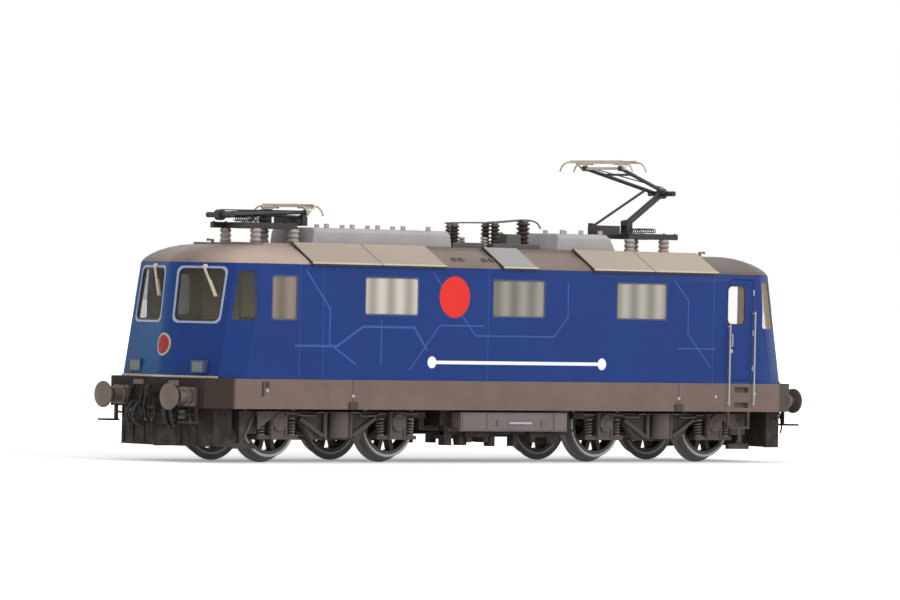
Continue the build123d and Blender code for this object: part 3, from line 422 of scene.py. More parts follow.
def plain_finish(slot, roughness, metallic, grain, dust, coat):
    """Cast or painted surface: cloudy tone, fine speckle in tone, gloss and bump, a tone that changes with
    place, which on several slots is painted light and shade, and dust that settles low."""
    made = Finish(slot + "_finish")
    colour = COLOUR_OF[slot]
    x, y, z = made.places()
    cloud = made.between(made.noise(*CLOUD["noise"]), *CLOUD["span"])
    speckle = made.noise(*SPECKLE["noise"])
    base = made.tint(cloud, shade(colour, 1 - grain), shade(colour, 1 + grain))
    bright = shade(colour, 1 + SPECKLE["lift"] * grain)
    base = made.tint(made.between(speckle, *SPECKLE["span"]), base, bright)
    # Tone by place from FADE: painted light and shade on the slots marked there
    for measure, start, end, factor in FADE.get(slot, ()):
        if measure == "turn":
            away = made.sum("DIVIDE", made.sum("MULTIPLY", x, y), -SIDE_Y)
        else:
            away = made.sum("ABSOLUTE", {"x": x, "y": y, "z": z}[measure])
        base = made.tint(made.between(away, start, end), base, shade(colour, factor))
    if dust:
        patch = made.between(made.noise(*DUST["noise"]), *DUST["span"])
        base = made.tint(made.both(made.between(z, *DUST["height"]), patch, dust), base, DUST["colour"])
    made.set(Base_Color=base, Metallic=metallic, Coat_Weight=coat)
    made.set(Specular_IOR_Level=SHEEN.get(slot, PLAIN_SHEEN))
    made.set(Roughness=made.sum("MULTIPLY_ADD", speckle, SPECKLE["gloss"], roughness - SPECKLE["gloss"] / 2))
    made.bump(speckle, *BUMP["plain"])
    return made.material


# Distances from the axle where the bright rim and the dull tread begin, and factors on the metal's colour
TYRE = {"rim": (6.55, 6.65), "tread": (7.0, 7.1), "rim_tone": 0.62, "tread_tones": (0.12, 0.24),
        "metallic": 0.4, "paint": ((0.022, 0.019, 0.018), (0.045, 0.039, 0.036)), "noise": (300, 3),
        "roughness": 0.34}


def tyre_finish(slot):
    """Dull metal on tread and flange, a thin bright rim, and paint inside it, by the distance from the
    nearest axle."""
    made = Finish(slot + "_finish")
    colour = COLOUR_OF[slot]
    x, _, z = made.places()
    from_pivot = made.sum("ABSOLUTE", made.sum("SUBTRACT", made.sum("ABSOLUTE", x), BOGIE_X))
    along, up = made.sum("SUBTRACT", from_pivot, AXLE_OFFSET), made.sum("SUBTRACT", z, AXLE_Z)
    reach = made.root_of_squares(along, up)
    bare = made.between(reach, *TYRE["rim"])
    speckle = made.noise(*SPECKLE["noise"])
    tread = made.tint(speckle, *(shade(colour, tone) for tone in TYRE["tread_tones"]))
    metal = made.tint(made.between(reach, *TYRE["tread"]), shade(colour, TYRE["rim_tone"]), tread)
    paint = made.tint(made.noise(*TYRE["noise"]), *TYRE["paint"])
    made.set(Base_Color=made.tint(bare, paint, metal), Metallic=made.both(bare, TYRE["metallic"]))
    made.set(Roughness=made.sum("MULTIPLY_ADD", speckle, SPECKLE["gloss"], TYRE["roughness"]))
    made.bump(speckle, *BUMP["tyre"])
    return made.material


# Body paint: the blue's cloudy tones and gloss, then colours and how strongly each is laid over it
BODY_CLOUD = {"noise": (60, 3), "tones": (0.92, 1.08)}
BODY_GLOSS = {"noise": (3000, 2), "swing": 0.10, "least": 0.36, "relief": (900, 2), "specular": 0.16}
# Painted teal highlight on the far half of each nose: colour, share, span in from the end and across, in mm
PAINTED_NOSE_HIGHLIGHT = {"colour": (0.004, 0.078, 0.20), "share": 0.85, "from_end": (75.0, 80.0), "across": (-4.0, 5.0)}
LINE_PAINT = {"colour": (0.11, 0.22, 0.60), "share": 0.32}
SEAM_PAINT = {"colour": (0.10, 0.18, 0.50), "share": 0.25}
RED, WHITE = (0.72, 0.030, 0.022), (0.88, 0.88, 0.88)
OVAL_RIM = {"colour": (0.42, 0.36, 0.33), "edge": (1.02, 0.98)}
OVAL_FIELD = {"colour": (0.30, 0.035, 0.028), "edge": (0.84, 0.80)}
# Olive cab lining on inward faces, with painted shade towards the top and painted light lower down
SHADED_CAB_LINING = {"low": (0.30, 0.25, 0.085), "high": (0.085, 0.065, 0.020), "heights": (39.0, 30.0),
              "cloud": 4.0}
# In mm: what counts as a side and as a nose, and soft edges of lines and discs
SIDE_MARGIN, NOSE_DEPTH = 0.35, 6.0
LINE_EDGE, SPOT_EDGE = (0.07, -0.03), 0.05
# Inward faces: distances that normals are weighed by, and the span over which the lining takes over
BODY_HALF, INWARD = (30.0, 17.0), (-0.05, -0.15)


def livery_finish(slot):
    """Blue body paint. On the sides, from plain measures of place: a red disc, a white line with round
    ends, faint panel seams and thin pale lines in straight runs; on the noses a plain dull red oval. The
    far half of each front has a painted teal highlight, and faces that look inwards are cab colour, with
    painted shade towards the top and painted light from the windows lower down. The layout is the same
    turned half round."""
    made = Finish(slot + "_finish")
    blue = COLOUR_OF[slot]
    x, y, z = made.places()
    along = made.rightward(x, y)
    on_side = made.sum("GREATER_THAN", made.sum("ABSOLUTE", y), SIDE_Y - SIDE_MARGIN)

    def stroke(points, half_width):
        """Share that is 1 within half_width of a run of straight lines, on the plane of along and z."""
        gaps = []
        for (a0, z0), (a1, z1) in zip(points, points[1:]):
            run, rise = a1 - a0, z1 - z0
            length = float(np.hypot(run, rise))
            da, dz = made.sum("ADD", along, -a0), made.sum("ADD", z, -z0)
            part = made.sum("MULTIPLY_ADD", da, run / length, made.sum("MULTIPLY", dz, rise / length))
            past = made.sum("SUBTRACT", part, made.sum("MINIMUM", made.sum("MAXIMUM", part, 0.0), length))
            off = made.sum("MULTIPLY_ADD", da, -rise / length, made.sum("MULTIPLY", dz, run / length))
            gaps.append(made.either(made.sum("ABSOLUTE", off), made.sum("ABSOLUTE", past)))
        return made.between(made.chain("MINIMUM", gaps), *(half_width + edge for edge in LINE_EDGE))

    def spot(centre_a, centre_z, radius):
        """Share that is 1 inside a disc on the side."""
        far = made.root_of_squares(made.sum("ADD", along, -centre_a), made.sum("ADD", z, -centre_z))
        return made.between(far, radius + SPOT_EDGE, radius - SPOT_EDGE)

    cloud = made.between(made.noise(*BODY_CLOUD["noise"]), *CLOUD["span"])
    base = made.tint(cloud, *(shade(blue, tone) for tone in BODY_CLOUD["tones"]))
    # Painted teal highlight on the far half of each nose
    front = made.both(made.between(made.sum("ABSOLUTE", x), *PAINTED_NOSE_HIGHLIGHT["from_end"]),
                      made.between(made.rightward(y, x), *PAINTED_NOSE_HIGHLIGHT["across"]))
    base = made.tint(made.both(front, PAINTED_NOSE_HIGHLIGHT["share"]), base, PAINTED_NOSE_HIGHLIGHT["colour"])
    lines = made.either(*(stroke(run, width) for run, width in zip(LINE_RUNS, LINE_HALF_WIDTHS)))
    base = made.tint(made.both(lines, on_side, LINE_PAINT["share"]), base, LINE_PAINT["colour"])
    seam_runs = ([(at, height) for height in SEAMS["span"]] for at in SEAMS["along"])
    seams = made.either(*(stroke(run, SEAMS["half_width"]) for run in seam_runs))
    base = made.tint(made.both(seams, on_side, SEAM_PAINT["share"]), base, SEAM_PAINT["colour"])
    red = made.both(spot(RED_DISC["along"], RED_DISC["z"], RED_DISC["radius"]), on_side)
    base = made.tint(red, base, RED)
    half, line_z = WHITE_LINE["half_length"], WHITE_LINE["z"]
    white = made.either(stroke([(-half, line_z), (half, line_z)], WHITE_LINE["half_width"]),
                        spot(-half, line_z, WHITE_LINE["knob"]), spot(half, line_z, WHITE_LINE["knob"]))
    base = made.tint(made.both(white, on_side), base, WHITE)
    rise = made.sum("ADD", z, -NOSE_PLATE["z"])
    oval = made.root_of_squares(made.sum("DIVIDE", y, NOSE_PLATE["half_width"]),
                                made.sum("DIVIDE", rise, NOSE_PLATE["half_height"]))
    on_nose = made.sum("GREATER_THAN", made.sum("ABSOLUTE", x), END_X - NOSE_DEPTH)
    for ring in (OVAL_RIM, OVAL_FIELD):
        base = made.tint(made.both(made.between(oval, *ring["edge"]), on_nose), base, ring["colour"])
    normal = made.add("ShaderNodeSeparateXYZ", {0: made.add("ShaderNodeTexCoord").outputs["Normal"]}).outputs
    facing = made.sum("ADD", *(made.sum("MULTIPLY", normal[k], made.sum("DIVIDE", place, BODY_HALF[k]))
                               for k, place in enumerate((x, y))))
    # Cab lining: painted shade towards the top, painted light from the windows lower down
    cloudy_z = made.sum("MULTIPLY_ADD", cloud, SHADED_CAB_LINING["cloud"], z)
    shaded_lining = made.tint(made.between(cloudy_z, *SHADED_CAB_LINING["heights"]), SHADED_CAB_LINING["high"], SHADED_CAB_LINING["low"])
    base = made.tint(made.between(facing, *INWARD), base, shaded_lining)
    made.set(Base_Color=base, Specular_IOR_Level=BODY_GLOSS["specular"])
    speckle = made.noise(*BODY_GLOSS["noise"])
    made.set(Roughness=made.sum("MULTIPLY_ADD", speckle, BODY_GLOSS["swing"], BODY_GLOSS["least"]))
    made.bump(made.noise(*BODY_GLOSS["relief"]), *BUMP["livery"])
    return made.material


# Milky panes: factors on the pane's colour from dark to light band, and where along the body each pair holds
PANE_BAND = {"pitch": 4.9, "noise": (160, 2, (1, 1, 0.2)), "waver": 0.9, "span": (-0.6, 1.5)}
PANE_TONES = {"pale": (0.48, 0.90), "dull": (0.24, 0.46), "mid": (0.34, 0.64)}
PANE_DULL_FROM, PANE_MID_FROM, PANE_TAN_FROM = (-28.0, -8.0), (10.0, 26.0), (55.0, 58.0)
PANE_TAN = ((0.138, 0.103, 0.075), (0.24, 0.188, 0.155))
FROST = {"noise": 2500, "swing": 0.2, "least": 0.28}


def frosted_finish(slot):
    """Milky panes: soft upright bands from a wave along the body, lighter and darker, with a fine frosted
    grain. The end panes are tanned, and the middle ones are darker."""
    made = Finish(slot + "_finish")
    x, y, _ = made.places()
    wave = made.sum("SINE", made.sum("MULTIPLY", x, 2 * np.pi / PANE_BAND["pitch"]))
    waver = made.sum("MULTIPLY", made.noise(*PANE_BAND["noise"]), PANE_BAND["waver"])
    band = made.between(made.sum("ADD", wave, waver), *PANE_BAND["span"])
    pale, dull, mid = (made.tint(band, *(shade(COLOUR_OF[slot], tone) for tone in PANE_TONES[name]))
                       for name in ("pale", "dull", "mid"))
    along = made.rightward(x, y)
    base = made.tint(made.between(along, *PANE_DULL_FROM), pale, dull)
    base = made.tint(made.between(along, *PANE_MID_FROM), base, mid)
    base = made.tint(made.between(made.sum("ABSOLUTE", x), *PANE_TAN_FROM), base, made.tint(band, *PANE_TAN))
    made.set(Base_Color=base, Specular_IOR_Level=0.35)
    frost = made.noise(FROST["noise"])
    made.set(Roughness=made.sum("MULTIPLY_ADD", frost, FROST["swing"], FROST["least"]))
    made.bump(frost, *BUMP["frosted"])
    return made.material


# Clear panes: patterns to the metre, tones, and where in mm along from the door window's middle its strip
# and the corner pane begin
CLEAR_NOISE, CORNER_NOISE, RIPPLE = 200, 300, 150
BESIDE = WINDSCREEN["outer"] + 0.3
CLEAR_TONES = ((0.46, 0.46, 0.38), (0.60, 0.60, 0.52))
MILKY, STRIP_BROWN = (0.92, 0.92, 0.92), (0.17, 0.125, 0.105)
CORNER_TAN = ((0.42, 0.31, 0.22), (0.58, 0.46, 0.34))
STRIP_FROM, CORNER_FROM = (0.3, 0.5), (4.0, 5.0)
VEIL = {"clear": 0.05, "milky": 0.87, "corner": 0.5}


def clear_finish(slot):
    """Clear thin panes: nearly see-through, with a slight grey-green tone. The door windows are milky with
    a brown edge strip, and the corner windows beside the doors are tanned."""
    made = Finish(slot + "_finish")
    x, y, _ = made.places()
    along = made.rightward(x, y)
    from_door = made.sum("SUBTRACT", along, DOOR_WINDOW["x"])
    beside = made.sum("GREATER_THAN", made.sum("ABSOLUTE", y), BESIDE)
    milky = made.both(beside, made.sum("GREATER_THAN", from_door, -DOOR_WINDOW["width"]))
    strip_share = made.both(milky, made.between(from_door, *STRIP_FROM))
    corner = made.both(milky, made.between(from_door, *CORNER_FROM))
    tone = made.tint(milky, made.tint(made.noise(CLEAR_NOISE), *CLEAR_TONES), MILKY)
    tone = made.tint(strip_share, tone, STRIP_BROWN)
    tone = made.tint(corner, tone, made.tint(made.noise(CORNER_NOISE), *CORNER_TAN))
    veil = made.sum("SUBTRACT", made.both(milky, VEIL["milky"]), made.both(corner, VEIL["corner"]))
    made.set(Base_Color=tone, Roughness=0.04, Specular_IOR_Level=0.25)
    made.set(Alpha=made.sum("ADD", veil, VEIL["clear"]))
    made.bump(made.noise(RIPPLE), *BUMP["clear"])
    return made.material


LAMP = {"pitch": 0.45, "tones": ((0.035, 0.065, 0.055), (0.12, 0.17, 0.15))}


def lamp_finish(slot):
    """Lamp glass: ridged upright, slightly green, glossy."""
    made = Finish(slot + "_finish")
    _, y, _ = made.places()
    ridge = made.sum("SINE", made.sum("MULTIPLY", y, 2 * np.pi / LAMP["pitch"]))
    made.set(Base_Color=made.tint(made.between(ridge, -1, 1), *LAMP["tones"]), Roughness=0.2)
    made.set(Coat_Weight=0.2, Coat_Roughness=0.05)
    made.bump(ridge, *BUMP["lamp"])
    return made.material


# Slot: roughness, metallic, grain, dust, coat
PLAIN = {
    "roof_brown": (0.42, 0.0, 0.10, 0.0, 0.0),
    "hatch_beige": (0.40, 0.0, 0.08, 0.0, 0.0),
    "hood_grey": (0.36, 0.0, 0.08, 0.0, 0.0),
    "equipment_grey": (0.45, 0.0, 0.12, 0.0, 0.0),
    "insulator_brown": (0.22, 0.0, 0.15, 0.0, 0.3),
    "insulator_grey": (0.25, 0.0, 0.15, 0.0, 0.3),
    "skirt_grey": (0.42, 0.0, 0.08, 0.0, 0.0),
    "underframe_dark": (0.55, 0.0, 0.16, 0.35, 0.0),
    "cast_metal": (0.60, 0.4, 0.20, 0.0, 0.0),
    "cab_olive": (0.55, 0.0, 0.10, 0.0, 0.0),
    "cab_grey": (0.50, 0.0, 0.12, 0.0, 0.0),
    "seat_dark": (0.60, 0.0, 0.20, 0.0, 0.0),
    "buffer_grey": (0.38, 0.3, 0.15, 0.2, 0.0),
    "hose_black": (0.50, 0.0, 0.20, 0.2, 0.0),
    "rail_white": (0.35, 0.0, 0.05, 0.0, 0.0),
    "light_grey": (0.38, 0.0, 0.08, 0.0, 0.0),
    "frame_silver": (0.38, 0.20, 0.06, 0.0, 0.0),
    "box_grey": (0.45, 0.0, 0.10, 0.2, 0.0),
    "lamp_grey": (0.40, 0.0, 0.10, 0.0, 0.0),
    "frame_dull": (0.45, 0.0, 0.10, 0.0, 0.0),
    "wheel_dark": (0.50, 0.2, 0.18, 0.45, 0.0),
    "spring_grey": (0.40, 0.5, 0.15, 0.30, 0.0),
    "bogie_grey": (0.52, 0.0, 0.16, 0.45, 0.0),
    "collector_bronze": (0.40, 0.6, 0.15, 0.0, 0.0),
    "pantograph_dark": (0.42, 0.2, 0.15, 0.0, 0.0),
}
FINISH = {slot: plain_finish(slot, *values) for slot, values in PLAIN.items()}
FINISH["body_blue"] = livery_finish("body_blue")
FINISH["bright_metal"] = tyre_finish("bright_metal")
FINISH["frosted_glass"] = frosted_finish("frosted_glass")
FINISH["clear_glass"] = clear_finish("clear_glass")
FINISH["lamp_glass"] = lamp_finish("lamp_glass")

# Solids whose edges are rounded over, with the rounding in mm; the others keep their own mesh
ROUNDED = {
    "body_shell": 0.12, "roof": 0.25, "roof_hatches": 0.10, "roof_middle_hatches": 0.10, "roof_hoods": 0.25,
    "switch_boxes": 0.12, "lifting_lugs": 0.06, "solebars": 0.10, "headstocks": 0.10, "battery_box": 0.15,
    "equipment_boxes": 0.12, "ploughs": 0.10, "steps": 0.06, "lamp_housings": 0.12,
    "driver_desks": 0.20, "driver_seats": 0.30, "side_window_frames": 0.06, "windscreen_frames": 0.08,
}
for bogie, piece in product(BOGIES, ("frame_left", "frame_right", "gearbox")):
    ROUNDED[f"{bogie}_{piece}"] = 0.12
for pantograph in PANTOGRAPHS:
    ROUNDED[f"{pantograph}_base"] = 0.08
for node in sorted(frame["nodes"]):
    if node in ROUNDED:
        dressed(node, ROUNDED[node])
    else:
        mesh = frame["nodes"][node].data
        mesh.materials.clear()
        mesh.materials.append(FINISH[SLOT_OF[node]])

# How far the cab front stands back from the headstock: at the nose and at the corner, low and high
FRONT_SETBACK = {"low": (0.5, 3.3), "high": (2.9, 7.5)}
CORNER_Y = 14.5
ENDS = SIDES = (-1, 1)
UP = (0, 0, 1)


def front_x(y, z):
    """Distance from the middle to the cab front, straight from nose to corner and from low to high."""
    share = (np.asarray(z, float) - BODY_LOW_Z) / (BODY_HIGH_Z - BODY_LOW_Z)
    setbacks = zip(FRONT_SETBACK["low"], FRONT_SETBACK["high"])
    nose, corner = (low + (high - low) * share for low, high in setbacks)
    return END_X - nose - (corner - nose) * np.abs(y) / CORNER_Y


def around(middle, half):
    """Span of a half width to both sides of a middle."""
    return middle - half, middle + half


def end_point(end, out, y, z):
    """Point at one end of the body, from its distance out from the headstock, y and height."""
    return end * (END_X + out), y, z


def end_points(end, run):
    """Points at one end of the body, from rows of distance out from the headstock, y and height."""
    return [end_point(end, *row) for row in run]


def end_box(end, out, across, up):
    """Box at one end of the body, from spans out from the headstock, across and in height."""
    return box_grid(*end_points(end, zip(out, across, up)))


def side_box(wall_y, facing, along, proud, up):
    """Box on a wall that faces one side, from spans along, out from the wall and in height."""
    return box_grid(*((x, wall_y + facing * out, z) for x, out, z in zip(along, proud, up)))


def rounded_rectangle(low, high, radius, per_corner=7):
    """Closed path of points: four quarter circles of one radius joined by straight sides."""
    (x0, y0), (x1, y1) = low, high
    middles = [(x1 - radius, y1 - radius, 0), (x0 + radius, y1 - radius, 1),
               (x0 + radius, y0 + radius, 2), (x1 - radius, y0 + radius, 3)]
    turn = np.linspace(0, np.pi / 2, per_corner)
    arcs = []
    for x, y, quarter in middles:
        swing = turn + quarter * np.pi / 2
        arcs.append(np.stack([x + radius * np.cos(swing), y + radius * np.sin(swing)], -1))
    return np.concatenate(arcs)


def loop_bar(path, outward, width, height):
    """Flat bar round a closed path: each point plus width across the path and height along outward."""
    path = np.asarray(path, float)
    along = np.roll(path, -1, 0) - np.roll(path, 1, 0)
    along /= np.linalg.norm(along, axis=1, keepdims=True)
    outward = np.broadcast_to(np.asarray(outward, float), path.shape)
    across = np.cross(along, outward)
    square = np.array([[-1, 0], [1, 0], [1, 1], [-1, 1]], float) * [width / 2, height]
    grid = path[:, None] + across[:, None] * square[None, :, :1] + outward[:, None] * square[None, :, 1:]
    return grid, True


def dome(at, axis, radius, height, count):
    """Low dome: radius times cosine and height times sine of one quarter turn, turned about its axis."""
    lift = np.linspace(0, np.pi / 2, 4)
    outline = np.stack([height * np.sin(lift), radius * np.cos(lift)], -1)
    return turned(np.concatenate([[[0, 0]], outline]), at, axis, count)


def disc(at, axis, radius, thickness, count=20):
    """Flat disc with a square edge."""
    return turned([(0, 0), (0, radius), (thickness, radius), (thickness, 0)], at, axis, count)


def shed_outline(neck, rim, height, sheds, per_shed=8):
    """Insulator outline: the radius swings from neck to rim with a squared sine, once for each shed."""
    rise = np.linspace(0, 1, sheds * per_shed + 1)
    radius = neck + (rim - neck) * np.sin(np.pi * rise * sheds) ** 2
    return np.concatenate([[[0, 0]], np.stack([rise * height, radius], -1), [[height, 0]]])


# Bogies. Bolt heads and the like are given as radius, height and number of sides.

SPRING = {"offset": 4.0, "y": 11.9, "coil": 0.80, "wire": 0.20, "turns": 4.5, "gap": 0.4, "seat": (1.0, 0.3)}


def coil_springs():
    """Axlebox springs: a round wire along a coil between two thin seats, in place of ribbed posts."""
    for bogie, end in BOGIES.items():
        low_z, high_z = (corner[2] for corner in span_mm(f"{bogie}_springs"))
        grids = []
        for axle, step, side in product(around(0, AXLE_OFFSET), around(0, SPRING["offset"]), SIDES):
            x, y = end * (BOGIE_X + axle) + step, side * SPRING["y"]
            coil = helix(x, y, low_z + SPRING["gap"], high_z - SPRING["gap"], SPRING["coil"], SPRING["turns"])
            grids += [tube(coil, SPRING["wire"], 6), disc((x, y, low_z), UP, *SPRING["seat"]),
                      disc((x, y, high_z - SPRING["seat"][1]), UP, *SPRING["seat"])]
        made = fitted(f"{bogie}_coil_springs", grids, bogie, "spring_grey")
        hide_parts(f"{bogie}_springs")


AXLEBOX = {"face_y": 13.4, "cover": (0.95, 0.22, 16), "bolt_circle": 1.38, "bolt": (0.24, 0.20, 8)}
GUIDE_BAR = {"steps": (-1.9, 1.9), "half_width": 0.22, "y": (12.9, 13.15), "z": (5.2, 9.8)}
FRAME_BOLT = {"xs": (-9.0, -5.0, 5.0, 9.0), "y": 12.1, "z": 9.65, "size": (0.26, 0.2, 8)}
BRAKE_ROD = {"half_length": 8.6, "y": 9.6, "zs": (5.6, 6.1), "radius": 0.22}
# Runs of points: along from the pivot, out from the middle, height
FRAME_PIPE = [(-22.0, 12.35, 9.9), (-12.0, 12.35, 9.9), (-10.0, 12.75, 9.5), (-6.2, 12.75, 9.5),
              (-5.2, 12.5, 10.1), (5.2, 12.5, 10.1), (6.2, 12.75, 9.5), (10.0, 12.75, 9.5),
              (12.0, 12.35, 9.9), (22.0, 12.35, 9.9)]
SAND_PIPE = [(22.6, 12.25, 9.0), (23.6, 12.35, 7.2), (24.4, 12.0, 5.0), (24.0, 11.0, 3.4)]
FRAME_PIPE_RADIUS, SAND_PIPE_RADIUS = 0.17, 0.22


def bogie_fittings():
    """Small bogie parts: axlebox covers, bolts and guide bars, a pipe along each side frame, brake rods
    and sand pipes."""
    for bogie, end in BOGIES.items():
        grids, pipes = [], []
        centre = end * BOGIE_X
        for side in SIDES:
            out, face_y = (0, side, 0), side * AXLEBOX["face_y"]
            for x in (centre - AXLE_OFFSET, centre + AXLE_OFFSET):
                grids.append(dome((x, face_y, AXLE_Z), out, *AXLEBOX["cover"]))
                for turn in np.radians([45, 135, 225, 315]):
                    step, rise = AXLEBOX["bolt_circle"] * np.cos(turn), AXLEBOX["bolt_circle"] * np.sin(turn)
                    grids.append(dome((x + step, face_y, AXLE_Z + rise), out, *AXLEBOX["bolt"]))
                for step in GUIDE_BAR["steps"]:
                    bar = around(x + step, GUIDE_BAR["half_width"])
                    grids.append(side_box(0, side, bar, GUIDE_BAR["y"], GUIDE_BAR["z"]))
            for x in FRAME_BOLT["xs"]:
                bolt = (centre + x, side * FRAME_BOLT["y"], FRAME_BOLT["z"])
                grids.append(dome(bolt, out, *FRAME_BOLT["size"]))
            rail = smooth_path([(centre + x, side * y, z) for x, y, z in FRAME_PIPE], 60)
            pipes.append(tube(rail, FRAME_PIPE_RADIUS, 6))
            for z in BRAKE_ROD["zs"]:
                rod = [(x, side * BRAKE_ROD["y"], z) for x in around(centre, BRAKE_ROD["half_length"])]
                pipes.append(tube(rod, BRAKE_ROD["radius"], 6))
            sand = smooth_path([(centre + end * x, side * y, z) for x, y, z in SAND_PIPE], 16)
            pipes.append(tube(sand, SAND_PIPE_RADIUS, 6))
        fitted(f"{bogie}_bolts_and_covers", grids, bogie, "bogie_grey")
        fitted(f"{bogie}_pipes", pipes, bogie, "spring_grey")


# Ends: hoses, coupling, buffers. Runs are rows of distance out from the headstock, share of the lean or
# the reach across, and height; a cable's rows end with a share of its drop.

HOSE = {"ys": (-6.4, -4.4, 4.4, 6.4), "lean": 0.5, "radius": 0.38, "end": (0.58, 0.5, 12),
        "cock": [(0, 0), (0, 0.62), (0.5, 0.62), (0.7, 0.48), (0.7, 0)]}
HOSE_RUN = [(0.0, 0.0, 11.6), (1.1, 0.0, 11.55), (1.9, 0.4, 10.4), (2.0, 1.0, 8.8), (1.5, 0.8, 7.75),
            (0.8, 0.3, 7.6)]
HOSE_BRACKET = {"out": (0.25, 0.45), "half_width": 0.12, "z": (11.6, 12.9)}


def end_hoses():
    """Moulded brake hoses: round bars along smooth curves from a cock, out, down and back in."""
    grids = []
    for end, y in product(ENDS, HOSE["ys"]):
        lean = HOSE["lean"] * np.sign(y)
        points = end_points(end, [(out, y + lean * share, z) for out, share, z in HOSE_RUN])
        grids.append(tube(smooth_path(points, 28), HOSE["radius"], 10))
        grids.append(turned(HOSE["cock"], points[0], (end, 0, 0), 14))
        grids.append(disc(points[-1], (-end, 0, 0), *HOSE["end"]))
        across = around(y, HOSE_BRACKET["half_width"])
        grids.append(end_box(end, HOSE_BRACKET["out"], across, HOSE_BRACKET["z"]))
    made = fitted("moulded_hoses", grids, "body", "hose_black")
    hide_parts("brake_hoses")


CABLES = {"drops": ((2.4, 5.4), (-2.4, 5.0), (7.2, 3.2), (-7.2, 3.4)), "reach": 2.0, "radius": 0.26,
          "socket": (0.5, 0.4, 12), "z": 14.6}
CABLE_RUN = [(0.0, 0.0, 14.6, 0.0), (0.8, 0.0, 14.3, 0.0), (1.0, 0.25, 14.4, 0.75), (1.0, 0.55, 14.5, 1.0),
             (0.9, 0.9, 14.6, 0.6), (0.0, 1.0, 14.2, 0.0)]
THIN_PIPES = {"first_y": -10.6, "pitch": 3.4, "count": 7, "leans": (-0.9, 1.2), "radius": 0.19}
THIN_PIPE_RUN = [(-0.2, 0.0, 11.4), (0.5, 0.0, 11.0), (0.9, 0.5, 9.2), (0.7, 1.0, 7.4), (0.2, 1.2, 6.2)]
TAP = {"out": 0.85, "share": 0.7, "z": 8.3, "size": (0.3, 0.25, 8)}
POCKET = {"out": (-2.4, -0.3), "across": (-3.4, 3.4), "z": (7.4, 11.4)}
CROSS_PIPE = [(0.35, -12.2, 9.6), (0.45, -7.0, 9.4), (0.45, 7.0, 9.4), (0.35, 12.2, 9.6)]
CROSS_PIPE_RADIUS = 0.22
HEADSTOCK_BOXES = [{"y": 8.0, "half_width": 0.9, "out": (0.0, 0.55), "z": (8.6, 10.4)},
                   {"y": 5.4, "half_width": 1.5, "out": (0.0, 0.4), "z": (15.2, 16.2)}]


def end_pipework():
    """Moulded jumper cables and pipes on the headstocks: hanging loops, thin pipes with taps, a cross
    pipe, small boxes and the coupling's pocket behind."""
    grids, plates, taps, pocket = [], [], [], []
    for end in ENDS:
        for y, drop in CABLES["drops"]:
            reach = CABLES["reach"] * np.sign(y)
            run = [(out, y + reach * share, z - drop * fall) for out, share, z, fall in CABLE_RUN]
            grids.append(tube(smooth_path(end_points(end, run), 26), CABLES["radius"], 8))
            grids.append(disc((end * END_X, y, CABLES["z"]), (end, 0, 0), *CABLES["socket"]))
        for k in range(THIN_PIPES["count"]):
            y, lean = THIN_PIPES["first_y"] + THIN_PIPES["pitch"] * k, THIN_PIPES["leans"][k % 2]
            run = [(out, y + lean * share, z) for out, share, z in THIN_PIPE_RUN]
            grids.append(tube(smooth_path(end_points(end, run), 18), THIN_PIPES["radius"], 6))
            tap = end_point(end, TAP["out"], y + lean * TAP["share"], TAP["z"])
            taps.append(dome(tap, (end, 0, 0), *TAP["size"]))
        pocket.append(end_box(end, POCKET["out"], POCKET["across"], POCKET["z"]))
        grids.append(tube(end_points(end, CROSS_PIPE), CROSS_PIPE_RADIUS, 8))
        for box, side in product(HEADSTOCK_BOXES, SIDES):
            plates.append(end_box(end, box["out"], around(side * box["y"], box["half_width"]), box["z"]))
    fitted("jumper_cables", grids, "body", "hose_black")
    fitted("headstock_boxes", plates, "body", "buffer_grey")
    fitted("pipe_taps", taps, "body", "buffer_grey")
    fitted("coupling_pockets", pocket, "body", "underframe_dark")


COUPLING_PLATE = {"out": (0.0, 0.5), "across": (-1.6, 1.6), "z": (12.0, 15.0), "bolt_ys": (-1.2, 1.2),
                  "bolt_zs": (12.4, 14.6), "bolt": (0.3, 0.22, 8)}
HOOK_RUN = [(0.4, 0, 13.4), (1.5, 0, 13.3), (2.35, 0, 13.5), (2.6, 0, 14.3), (2.2, 0, 14.95), (1.75, 0, 14.8)]
HOOK_SECTION = (0.75, 0.9)
SHACKLES = {"out": 1.35, "wire": 0.20, "round": 0.6}
SHACKLE_LOOPS = [{"top": 12.9, "bottom": 10.9, "width": 0.75}, {"top": 10.5, "bottom": 8.7, "width": 0.95}]
COUPLING_SCREW = {"half_length": 1.3, "z": 10.7, "radius": 0.30}


